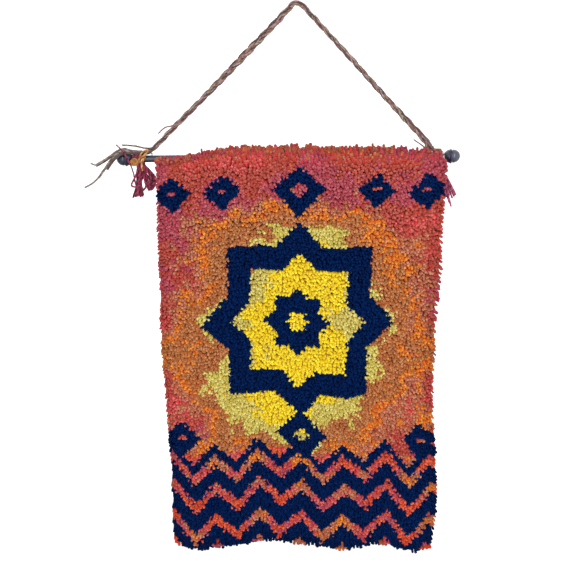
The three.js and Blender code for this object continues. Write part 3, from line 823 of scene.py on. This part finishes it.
def canvas_material():
    """Stiff cotton mesh: pale threads round darker holes, one hole to a knot."""
    n = Nodes("canvas_mesh")
    waves = [n.math("ABSOLUTE", n.math("SINE", n.times(place, pi))) for place in n.yarn_uv()]
    hole = n.times(*waves)
    fibre = n.noise(700, 3.0)
    thread = n.ramp(fibre, [(0.3, srgb("b9ad92")), (0.7, srgb("e9e0c8"))])
    colour = n.mix(n.fade(hole, (0.45, 0), (0.62, 1)), thread, srgb("5b5140"))
    raised = n.bump(n.math("SUBTRACT", 1.0, hole), 0.8, 0.8 * MM)
    n.set(Base_Color=colour, Normal=n.bump(fibre, 0.4, 0.2 * MM, raised), Roughness=0.9, Sheen_Weight=0.1)
    return n.material


# At the top right corner the canvas edge stands past its pile
SELVEDGE = 9.5 * MM
SELVEDGE_LOW = -16 * MM
SELVEDGE_EASE = 6 * MM

CANVAS_COLUMNS = 75
CANVAS_ROWS = 56
# The pocket's rings, and the share of them that goes round the rod before the rest hangs down
POCKET_RINGS = 14
POCKET_TURN = 0.6


def panel_grid():
    """The panel by column and row: each point's place, its x and its height along the canvas."""
    shares = 0.002 + 0.996 * np.arange(CANVAS_COLUMNS + 1) / CANVAS_COLUMNS
    across, up = np.meshgrid(shares, np.linspace(0, 1, CANVAS_ROWS), indexing="ij")
    x = knot_place(across, up)[0]
    x_mid = knot_place(across, 0.5)[0]
    pocketed = in_pocket(x_mid)
    low = table(BOTTOM_EDGE, x) + table(LOW_IN, x) - 2 * MM
    top = np.where(pocketed, 0, knot_top(x_mid) + 1.5 * MM)
    s = low + (top - low) * up
    place, _ = canvas_place(x, np.where(pocketed, np.minimum(s, 0), s))
    place[-1, :, 0] += SELVEDGE * smoothstep(s[-1], SELVEDGE_LOW, SELVEDGE_LOW + SELVEDGE_EASE)
    return np.dstack([place, x, s])


def pocket_grid(columns):
    """The same past the rod's axis at each column's x: over the rod, then down the panel's back."""
    x, share = np.meshgrid(columns, np.arange(1, POCKET_RINGS + 1) / POCKET_RINGS, indexing="ij")
    half_turn = pi * POCKET_RADIUS
    over = half_turn * share / POCKET_TURN
    t = np.clip((share - POCKET_TURN) / (1 - POCKET_TURN), 0, 1)
    low_y = cloth_back(x, -POCKET_DROP) + 0.4 * MM
    y = POCKET_RADIUS + (low_y - POCKET_RADIUS) * smoothstep(t, 0, 1)
    down = np.stack([x, y, ROD_Z - t * POCKET_DROP], -1)
    turning = share <= POCKET_TURN
    place = np.where(turning[..., None], canvas_place(x, over)[0], down)
    return np.dstack([place, x, np.where(turning, over, half_turn + t * POCKET_DROP)])


def canvas():
    """One sheet: the panel, and past the rod's axis the turned-over pocket, sewn to its back."""
    panel = panel_grid()
    pocketed = in_pocket(panel[:, -1, 0])
    pocket = pocket_grid(panel[pocketed, -1, 0])
    rows = np.concatenate([panel.reshape(-1, 5), pocket.reshape(-1, 5)])
    count = panel[..., 0].size
    front = np.arange(count).reshape(panel.shape[:2])
    behind = np.arange(count, len(rows)).reshape(pocket.shape[:2])
    quads = []
    for grid in (front, np.column_stack([front[pocketed, -1], behind])):
        here, there = grid[:-1], grid[1:]
        corners = [here[:, :-1], there[:, :-1], there[:, 1:], here[:, 1:]]
        quads.append(np.stack(corners, -1).reshape(-1, 4))
    quads = np.concatenate(quads)
    uv = rows[quads.ravel(), 3:] / CANVAS_MESH
    sheet = build("canvas", rows[:, :3], quads.ravel(), np.full(len(quads), 4), canvas_material(), uv)
    thick = sheet.modifiers.new("thickness", "SOLIDIFY")
    thick.thickness = CANVAS_THICKNESS
    thick.offset = 0.0
    apply_modifiers(sheet)
    return sheet


def apply_modifiers(obj):
    bpy.context.view_layer.update()
    ready = bpy.data.meshes.new_from_object(obj.evaluated_get(bpy.context.evaluated_depsgraph_get()))
    obj.modifiers.clear()
    obj.data = ready


# The rod and its finials

def painted_wood():
    """Blue-black paint over turned wood: faint grain, worn rims, a paler, shinier top as painted light and a
    darker, duller underside as painted shade.
    """
    n = Nodes("painted_wood_finish")
    stretch = n.add("ShaderNodeMapping", {"Vector": n.on_object(), "Scale": (14, 220, 220)})
    grain = n.noise(1.0, 5.0, 0.6, stretch.outputs[0])
    cloud = n.noise(60, 3.0)
    wear_and_painted_light = n.attribute("wear_and_painted_light")
    painted_shading_below = n.attribute("painted_shading_below")
    colour = n.ramp(grain, [(0.3, srgb("0c101c")), (0.6, srgb("1c223c")), (0.85, srgb("40486a"))])
    colour = n.mix(n.fade(cloud, (0.5, 0), (0.8, 0.3)), colour, srgb("50526a"))
    # Paler paint where the wear attribute is high: partly wear, partly painted light on the upper side and
    # on the right finial's nut
    colour = n.mix(n.fade(wear_and_painted_light, (0.75, 0), (1.0, 0.3)), colour, srgb("6a6c7c"))
    # Painted shade: the underside darkens towards near black
    colour = n.mix(n.times(painted_shading_below, 0.8), colour, srgb("08090e"))
    # The shine follows the same wear and painted light, and the painted shade dulls it on the underside
    shine = n.times(n.plus(n.times(wear_and_painted_light, 0.5), 0.45), n.plus(n.times(painted_shading_below, -0.75), 1.0))
    n.set(Base_Color=colour, Roughness=n.fade(cloud, (0.3, 0.14), (0.75, 0.32)),
          Normal=n.bump(grain, 0.25, 0.2 * MM), Specular_IOR_Level=shine)
    return n.material


def turned(name, profile, material, flip=1, at=0.0, sides=56, wear_and_painted_light=0.7, underside_shade=1.0):
    """A profile of (radius, along) in metres turned about the rod's axis.

    Its wear sets the paint's paleness and shine and is raised towards the top of each ring as painted light;
    the underside shade sets how dark the painted shade on the underside is.
    """
    angle = np.arange(sides) / sides * tau
    points = [np.stack([np.full(sides, at + flip * along), radius * np.cos(angle),
                        ROD_Z + radius * np.sin(angle)], -1) for radius, along in profile]
    quads = ring_quads(len(profile), sides)[:, ::flip]
    start = np.arange(sides)[::flip]
    loops = np.concatenate([quads.ravel(), start[::-1], (len(profile) - 1) * sides + start])
    sizes = [4] * len(quads) + [sides, sides]
    # Painted light: the wear rises towards the top of each ring, so the top is paler and shinier
    wear_and_top_light = np.broadcast_to(wear_and_painted_light, (len(profile),))[:, None] + 0.2 * np.sin(angle)
    # Painted shade on the lower half of each ring
    painted_shading_below = np.broadcast_to(underside_shade * smoothstep(-np.sin(angle), 0, 0.8), wear_and_top_light.shape)
    floats = {"wear_and_painted_light": wear_and_top_light.ravel(), "painted_shading_below": painted_shading_below.ravel()}
    return build(name, np.vstack(points), loops, sizes, material, floats=floats)


# The finial's outline: radius and distance from the rod's end, in millimetres
FINIAL_CUP = [
    (2.9, -9), (3.0, 0.3), (5.6, 0.3), (5.9, 0.9), (6.3, 1.9), (7.3, 2.8), (8.8, 3.9), (10.2, 5.5),
    (11.2, 7.4), (11.9, 9.4), (12.3, 11.2), (12.9, 11.7), (13.4, 12.3), (13.5, 13.1), (13.3, 13.8),
    (12.6, 14.3), (11.3, 14.8), (10.9, 15.4), (11.2, 16.0), (11.9, 16.8)
]
NUT_START = 16.8
NUT_RADIUS = 12.0
NUT_LENGTH = 13.2
NUT_RINGS = 14
# How worn the paint is along a finial, at distances in millimetres from the rod's end; the nut's paleness is
# partly painted highlight and the ridge's darkness partly painted shade
WEAR_AND_LIGHT_AT = (8, 11, 13.8, 15.6, 20, 26)
WEAR_AND_LIGHT = (0.8, 0.3, 0.3, 1.05, 0.85, 1.1)

BORE_RADIUS = 3.3 * MM
ROD_EDGE = 0.5 * MM
ROD_CUTS = 40


def finial_profile():
    """The cup's rings, then an elliptical nut that closes to a point, in metres."""
    rows = list(FINIAL_CUP)
    for i in range(1, NUT_RINGS):
        angle = i / NUT_RINGS * pi / 2
        rows.append((NUT_RADIUS * cos(angle) ** 0.92, NUT_START + NUT_LENGTH * sin(angle)))
    rows.append((0.25, NUT_START + NUT_LENGTH))
    return [(radius * MM, along * MM) for radius, along in rows]


def rod_and_finials(material):
    profile = [(BORE_RADIUS, ROD_LEFT + 0.1 * MM), (ROD_RADIUS - ROD_EDGE, ROD_LEFT),
               (ROD_RADIUS, ROD_LEFT + ROD_EDGE)]
    for i in range(1, ROD_CUTS):
        profile.append((ROD_RADIUS, ROD_LEFT + (ROD_RIGHT - ROD_LEFT) * i / ROD_CUTS))
    profile += [(ROD_RADIUS, ROD_RIGHT - ROD_EDGE), (ROD_RADIUS - ROD_EDGE, ROD_RIGHT),
                (BORE_RADIUS, ROD_RIGHT - 0.1 * MM)]
    rod = turned("rod_turned", profile, material)
    outline = finial_profile()
    wear_and_painted_light = np.interp([along / MM for _, along in outline], WEAR_AND_LIGHT_AT, WEAR_AND_LIGHT)
    # The left finial is a darker, duller copy of the same paint: painted shade
    right = turned("acorn_right", outline, material, 1, ROD_RIGHT, wear_and_painted_light=wear_and_painted_light, underside_shade=0.35)
    left = turned("acorn_left", outline, material, -1, ROD_LEFT, wear_and_painted_light=0.4 * wear_and_painted_light, underside_shade=0.8)
    return rod, left, right


# The hanger: its route as (x, rise over the rod's axis) and its width by the share of its length

PLAIT_ROUTE = [
    (-261, -242), (-252.8, -236.2), (-245.4, -229.6), (-218.6, -203.2), (-189.3, -175.6), (-147.4, -135.8),
    (-106.6, -96), (-66.5, -56.8), (-39.2, -30.2), (-24.3, -15), (-14, -4.6), (-7.4, 2), (-0.4, 4.4),
    (6.8, 2.2), (14.6, -5.4), (26, -17.2), (51.4, -44.2), (89, -84), (127, -125), (165, -166),
    (205, -207.4), (224, -227.4), (230.6, -236.4), (234.4, -240.8), (238, -243.8)
]
PLAIT_WIDTHS = [
    (0, 0.95), (0.02, 1.0), (0.065, 1.05), (0.12, 1.1), (0.17, 1.2), (0.22, 1.3), (0.28, 1.4), (0.35, 1.36),
    (0.415, 1.4), (0.45, 1.4), (0.5, 1.28), (0.53, 1.15), (0.57, 1.0), (0.65, 1.02), (0.72, 1.15),
    (0.8, 1.12), (0.93, 1.2), (0.965, 1.45), (1, 1.5)
]

PLAIT_PITCH = 72 * MM
PLAIT_MIX = ("mauve", "olive", "rose", "umber")
STRAND_YARNS = [("mauve", "umber", "rose", "olive"), ("mauve", "rose", "umber", "mauve"),
                ("olive", "mauve", "umber", "rose")]
# How far the strands swing sideways and forward, and how far each yarn lies from its strand's middle
STRAND_SWING = 2.7 * MM
STRAND_DEPTH = 1.7 * MM
YARN_OUT = 1.25 * MM
YARN_PITCH = 60 * MM
YARN_RADIUS = 1.15 * MM


def hanger():
    """The plait: its line and length, its yarns by name and the line of each yarn."""
    rng = np.random.default_rng(3)
    line = smooth_path([(x * MM, 0, z * MM) for x, z in PLAIT_ROUTE], 2.6 * MM)
    steps = lengths_along(line)
    tangent = unit(np.gradient(line, axis=0))
    wide = np.stack([-tangent[:, 2], np.zeros(len(line)), tangent[:, 0]], 1)
    front = np.array([0, -1.0, 0])
    size = np.interp(steps / steps[-1], *zip(*PLAIT_WIDTHS))
    size = size * (1 + 0.05 * np.sin(steps / 0.031) + 0.04 * np.sin(steps / 0.0125 + 1))

    def beside(middle, across, forward):
        return middle + wide * across[:, None] + front * forward[:, None]

    batches = {name: [] for name in PLAIT_MIX}
    yarn_lines = []
    # Painted shade: a dark umber core inside the plait shows between the strands as deep shade
    shade_core = line - front * 0.4 * MM
    batches["umber"] += plied(shade_core, 1.8 * MM * size, rng, plies=2, pitch=14 * MM, sides=5)
    for i, names in enumerate(STRAND_YARNS):
        turn = steps / PLAIT_PITCH * tau + i * tau / 3
        middle = beside(line, STRAND_SWING * size * np.sin(turn), STRAND_DEPTH * size * np.sin(2 * turn))
        for j, name in enumerate(names):
            spin = steps / YARN_PITCH * tau + j * pi / 2 + i
            yarn = beside(middle, YARN_OUT * size * np.cos(spin), YARN_OUT * size * np.sin(spin))
            yarn_lines.append(yarn)
            batches[name] += plied(yarn, YARN_RADIUS * size, rng, plies=2, pitch=9 * MM, sides=5)
    return line, steps[-1], batches, yarn_lines


# The ends and ties on the rod: each point is (x, y, rise) in millimetres from the rod's axis

PLAIT_STRAYS = [
    ("mauve", 1.6, [(-205, -1, 66), (-212, -4, 60), (-222, -5, 57), (-233, -5, 54.5), (-246, -3, 44)]),
    ("ash", 1.9, [(-252, -2, 19.5), (-261, -5, 18.6), (-272, -6, 19.4), (-285, -5, 22.4), (-299, -4, 24),
                  (-311, -3, 24.6)]),
    ("ash", 1.5, [(231, -1, 15), (225, -3, 16), (216, -4, 22), (204, -4, 30)]),
]

# The left ends' start, the three routes on from it, and each end's yarn, shift and route
LEFT_START = [(-258.5, 0, 17.4), (-264, -1, 12.6), (-269.5, -1, 11.2), (-279, -1.5, 12.2)]
LEFT_HIGH = [(-297, -2, 14), (-307, -3, 17), (-319, -3, 13.8), (-331, -3, 6), (-345, -3, -3),
             (-358, -4, -10), (-368, -4, -7)]
LEFT_FRONT = [(-297, -8, 12.6), (-307, -10.4, 13.6), (-320, -10, 6.4), (-331, -9, -5), (-339, -9, -16)]
LEFT_LOW = [(-297, 4, 14), (-307, 4, 16.6), (-320, 3, 11), (-331, 2, -2), (-349, 2, -22),
            (-357, 2, -33), (-368, 2, -43), (-383, 2, -51)]
LOOSE_LEFT = [("ash", (0, 0, 0), LEFT_HIGH), ("rose", (0, 1.9, 1.2), LEFT_HIGH[:-1]),
              ("umber", (-0.6, 0.4, -2.4), LEFT_HIGH[:-1]), ("ash", (0, -2.0, -0.4), LEFT_FRONT),
              ("ash", (-1.6, -3.2, 1.8), LEFT_FRONT), ("umber", (1.8, -3.2, -2.2), LEFT_FRONT),
              ("ash", (0, 1.4, 0.4), LEFT_LOW), ("mauve", (0.4, 2.8, -1.2), LEFT_LOW[:-2])]
LOOSE_RIGHT = [[(213, -4.5, 42), (221, -6.5, 33.5), (229, -7, 24), (235.5, -5.5, 15)],
               [(218, -3.5, 42), (226, -5, 32.5), (233.5, -5.5, 23), (238, -4, 14)],
               [(222, -3, 38), (229.5, -5, 27), (235, -6.5, 17), (239, -6, 9)]]

# The yarns laid on the rod: the y and lift of each beside the others, and its yarn at either end
LAID_SPREAD = [(-3.4, 0.2), (-1.4, 1.6), (0.8, 1.7), (3.2, 0.4), (-2.2, -1.5), (1.8, -1.5)]
LAID_LEFT = ("mauve", "rose", "umber", "olive", "mauve", "umber")
LAID_RIGHT = ("moss", "moss", "moss", "olive", "rose", "mauve")
LASHED = 6 * MM


def laid_lines(face, dip, run):
    """Yarns that run from the plait's end to lie side by side along the rod's top."""
    return [[(face[0], y * 0.5, face[1] + lift * 1.2), (dip[0], y * 0.8, dip[1] + lift)]
            + [(x, y, rise + lift * 0.5) for x, rise in run] for y, lift in LAID_SPREAD]


WOUND_STEPS = 30


def wound(x0, x1, turns, radius, lashed, rng):
    """Yarn wound round the rod and what is lashed on its top, as one helix."""
    inner = ROD_RADIUS + ROD_GAP + radius
    count = int(turns * WOUND_STEPS)
    angle = np.linspace(0, turns * tau, count + 1) - pi / 2
    x = np.linspace(x0 * MM + radius, x1 * MM - radius, count + 1)
    lift = lashed * np.clip(3 * np.sin(angle), 0, 1)
    wobble = 1 + 0.03 * np.sin(angle * 2.7 + x0)
    line = np.stack([x, inner * wobble * np.cos(angle), ROD_Z + lift + inner * wobble * np.sin(angle)], 1)
    return plied(line, radius, rng, pitch=10 * MM)


def left_ends(rng):
    batches = {name: [] for name in ("mauve", "olive", "rose", "ash", "umber")}
    for name, shift, rest in LOOSE_LEFT:
        points = LEFT_START + rest
        shares = [0.8] + [1] * (len(points) - 1)
        route = [tuple(a + b * share for a, b in zip(point, shift)) for point, share in zip(points, shares)]
        batches[name] += strand(route, 1.95, rng)
    run = [(-272, 11.6), (-279, 11.9), (-287, 11.9)]
    for name, route in zip(LAID_LEFT, laid_lines((-258.5, 17.2), (-265, 12.2), run)):
        batches[name] += strand(route, 1.7, rng)
    return batches


def right_ends(rng):
    batches = {name: [] for name in ("mauve", "olive", "rose", "moss")}
    run = [(243, 11.8), (249, 11.6), (254.5, 11.2)]
    for name, route in zip(LAID_RIGHT, laid_lines((236, 15.8), (239.5, 12.6), run)):
        batches[name] += strand(route, 1.75, rng, step=2.0)
    for route in LOOSE_RIGHT:
        batches["mauve"] += strand(route, 1.5, rng)
    return batches


GOLD_STRANDS = [
    [(-269, -9.4, 8), (-270.6, -11.4, 6.4), (-275, -13.2, 4.4), (-279.6, -13.6, 1.4), (-280.6, -13.6, -3)],
    [(-269, -9.6, 3), (-272.4, -12.4, 2), (-275.4, -13.4, -1), (-276.2, -13.6, -7), (-275, -13, -20)],
]
GOLD_LOOP = [(-278.4, -13, 4), (-276.6, -13, 9), (-273.6, -12.4, 13), (-269, -11, 15.4),
             (-264.4, -9, 16.4), (-265, -9.6, 13.2), (-268.4, -11.4, 9.6), (-272.6, -12.6, 5.6)]
# The knot is a flat coil that winds inwards round its middle
GOLD_KNOT = (-288.2, -13.6, -5.4)
COIL_STEPS = 44
COIL_TURNS = 3.25


def gold_tie(rng):
    batches = wound(-254, -279, 1.05, 1.7 * MM, LASHED, rng)
    for route in GOLD_STRANDS:
        batches += strand(route, 1.75, rng, step=1.8)
    cx, cy, cz = GOLD_KNOT
    coil = []
    for i in range(COIL_STEPS + 1):
        turn = i / COIL_STEPS * COIL_TURNS * tau
        wide = 8.2 - 7.4 * i / COIL_STEPS
        tall = 6.8 - 6.0 * i / COIL_STEPS
        y = cy - 1.2 * i / COIL_STEPS - 0.5 * sin(turn * 0.5)
        coil.append((cx + wide * cos(turn), y, cz + tall * sin(turn)))
    batches += strand(coil, 1.45, rng, step=1.5)
    return batches + strand(GOLD_LOOP, 1.4, rng, step=1.5)


BUNDLE_STRANDS = 10
# Each bow loop: how far out and how low it reaches, and its y
BOWS = [(-254.5, -55, -3.6), (-258.5, -56, 0.8), (-255, -46, 5.2), (-261.5, -47, -5.6),
        (-257, -50, -1.2), (-261, -51, 3.4), (-268, -54, -4.4), (-271, -57, 2.4)]
WAIST_STEPS = 30
WAIST_TURNS = 2
WINE_TIP = [(-283, -5, -9), (-288, -6, -28), (-297, -6, -47), (-288, -3, -50)]
WINE_STRAY = [
    (-290, -3, -46), (-291, -6, -36), (-291.5, -10, -26), (-293.5, -14, -15), (-297, -16.4, -5),
    (-301.6, -17, 5), (-307.5, -15.6, 13.4), (-313.5, -12, 20), (-320, -9, 25.6)
]


def tassel_left(rng):
    """A winding on the rod, a bundle that hangs from it with bow loops, its waist and a stray."""
    batches = wound(-295.6, -271.6, 5.5, 2.1 * MM, 0.6 * MM, rng)
    for i in range(BUNDLE_STRANDS):
        share = (i // 2) / (BUNDLE_STRANDS // 2 - 1)
        y = (4.2 if i % 2 else -4.2) + 1.6 * (rng.random() - 0.5)
        route = [(-285 + 11 * share, y, -7), (-286 + 10 * share, y, -26),
                 (-289 + 6.5 * share, y * 0.55, -48), (-296 + 18 * share, y * 0.9, -69 + 4 * rng.random())]
        batches += strand(route, 2.1, rng)
    for out, low, y in BOWS:
        route = [(-277, y, -9), ((-277 + out) / 2, y, -20), (out, y, -36), (out - 4, y, low + 4),
                 (out - 9, y, low), (out - 12, y, low + 12), (-276, y * 0.5, -24)]
        batches += strand(route, 2.05, rng)
    waist = []
    for i in range(WAIST_STEPS + 1):
        turn = i / WAIST_STEPS * WAIST_TURNS * tau
        waist.append((-285.5 + 4.6 * cos(turn), 4.2 * sin(turn), -49.5 + 3.2 * i / WAIST_STEPS))
    batches += strand(waist, 1.2, rng, step=1.8)
    return batches + strand(WINE_TIP, 2.0, rng) + strand(WINE_STRAY, 1.6, rng)


# Where each strand of the right tassel ends
FAN = [(284, 5, -70), (282, 8.5, -73), (280, 3, -68), (278.5, 7, -76), (277, 8, -91), (275, 4, -70),
       (273.5, 8.5, -84), (271.5, 3.5, -72), (270, 6.5, -66), (268, 9, -74), (266, 4, -70),
       (263.5, 8, -73), (260, 4, -71), (255, 8, -70), (250, 5, -66)]


def tassel_right(rng):
    """A winding behind the cloth, and strands that fan out past its edge."""
    batches = wound(242.8, 252.2, 2, 2.0 * MM, 0.6 * MM, rng)
    for i, (x, y, rise) in enumerate(FAN):
        root = 246 + (i % 3) * 1.6
        route = [(root, 6, -6), (root + (x - root) * 0.22, 7, -24), (root + (x - root) * 0.6, y, rise * 0.6),
                 (x, y, rise)]
        batches += strand(route, 2.1, rng)
    return batches


# Everything is made here

PLAIT_YARNS = plait_materials()
WINE = yarn_material("wine_yarn_finish", "2a0616", "681630", "a6405c", furrow_shade=0.4, sheen=0.1)
WINE_FAN = yarn_material("wine_fan_finish", "380a24", "842648", "c05c80", furrow_shade=0.5, sheen=0.1)
GOLD = yarn_material("gold_yarn_finish", "74401a", "b47630", "ecb264", furrow_shade=0.45)
HAIR = yarn_material("yarn_hair", "7c625a", "a08478", "c4aca0", bump=0.5)


def ridden(piece, node=None):
    """A piece that rides the root and the node that it replaces, if any."""
    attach(piece, "root")
    if node:
        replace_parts(piece, node)
    return piece


def by_yarn(prefix, batches):
    """A piece for each yarn."""
    return [ridden(joined_tubes(prefix + "_" + name, batches[name], PLAIT_YARNS[name]))
            for name in batches if batches[name]]


plait_line, plait_length, plait_batches, plait_yarn_lines = hanger()
plait_all = [batch for name in PLAIT_MIX for batch in plait_batches[name]]
plait = joined_tubes("plait", plait_all, PLAIT_YARNS[PLAIT_MIX[0]])
for name in PLAIT_MIX[1:]:
    plait.data.materials.append(PLAIT_YARNS[name])
slots = []
for index, name in enumerate(PLAIT_MIX):
    slots += [index] * sum(len(batch[2]) for batch in plait_batches[name])
plait.data.polygons.foreach_set("material_index", np.array(slots, np.int32))
ridden(plait, "hanger")

rng = np.random.default_rng(17)
stray_batches = {"mauve": [], "ash": []}
for name, radius, route in PLAIT_STRAYS:
    stray_batches[name] += strand(route, radius, rng, step=2.0)
strays = by_yarn("plait_strays", stray_batches)
plait_hair = fuzz(plait_yarn_lines, HAIRS, HAIR_REACH, rng)
hair = ridden(joined_tubes("plait_hair", [plait_hair], HAIR))

for prefix, batches in (("ends_left", left_ends(rng)), ("ends_right", right_ends(rng))):
    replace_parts(by_yarn(prefix, batches)[0], prefix)

ridden(joined_tubes("gold_knot", gold_tie(rng), GOLD), "gold_tie")
ridden(joined_tubes("tassel_wine_left", tassel_left(rng), WINE), "tassel_left")
ridden(joined_tubes("tassel_wine_right", tassel_right(rng), WINE_FAN), "tassel_right")

rod, acorn_left, acorn_right = rod_and_finials(painted_wood())
for piece, node in ((rod, "rod"), (acorn_left, "finial_left"), (acorn_right, "finial_right")):
    ridden(piece, node)

yarns = pile_materials()
pile_pieces, knots = pile(yarns)
pile_pieces += knot_backs(knots, yarns)
for piece in pile_pieces:
    ridden(piece)
sheet = ridden(canvas(), "cloth")


# Floor, backdrop and light

FLOOR_Z = -1.10
FLOOR_FRONT = -6.0
FLOOR_BACK = 2.6
SWEEP_RADIUS = 1.4
SWEEP_STEPS = 16
BACKDROP_TOP = 5.0
STAGE_HALF = 7.0


def stage():
    """A pale floor that sweeps up into a backdrop well behind the hanging."""
    profile = [(FLOOR_FRONT, FLOOR_Z), (FLOOR_BACK, FLOOR_Z)]
    for i in range(1, SWEEP_STEPS + 1):
        angle = i / SWEEP_STEPS * pi / 2
        profile.append((FLOOR_BACK + SWEEP_RADIUS * sin(angle),
                        FLOOR_Z + SWEEP_RADIUS * (1 - cos(angle))))
    profile.append((FLOOR_BACK + SWEEP_RADIUS, BACKDROP_TOP))
    points = [(x, y, z) for y, z in profile for x in (-STAGE_HALF, STAGE_HALF)]
    faces = [(2 * i, 2 * i + 1, 2 * i + 3, 2 * i + 2) for i in range(len(profile) - 1)]
    n = Nodes("stage_white")
    n.set(Base_Color=(0.93, 0.93, 0.93, 1), Roughness=1.0, Specular_IOR_Level=0.0)
    build("floor", points, np.array(faces).ravel(), [4] * len(faces), n.material)


def area_light(name, place, aim, size, power):
    data = bpy.data.lights.new(name, "AREA")
    data.shape = "RECTANGLE"
    data.size, data.size_y = size
    data.energy = power
    light = bpy.data.objects.new(name, data)
    light.location = place
    light.rotation_euler = (Vector(aim) - Vector(place)).to_track_quat("-Z", "Y").to_euler()
    bpy.context.collection.objects.link(light)


def lights():
    middle = (0, 0, -0.55)
    area_light("key", (0.7, -2.6, 1.2), middle, (1.4, 1.4), 30)
    area_light("front", (0.3, -2.6, -0.2), middle, (2.2, 2.2), 34)
    area_light("rear", (-0.6, 2.2, 0.9), middle, (1.6, 1.6), 15)
    area_light("wall", (0, 1.2, 1.6), (0, 4.0, -0.6), (4.0, 1.0), 90)
    world = bpy.data.worlds.new("studio")
    bpy.context.scene.world = world
    world.use_nodes = True
    background = world.node_tree.nodes["Background"]
    background.inputs["Color"].default_value = (1, 1, 1, 1)
    background.inputs["Strength"].default_value = 0.8
    bpy.context.scene.view_settings.view_transform = "Standard"


stage()
lights()
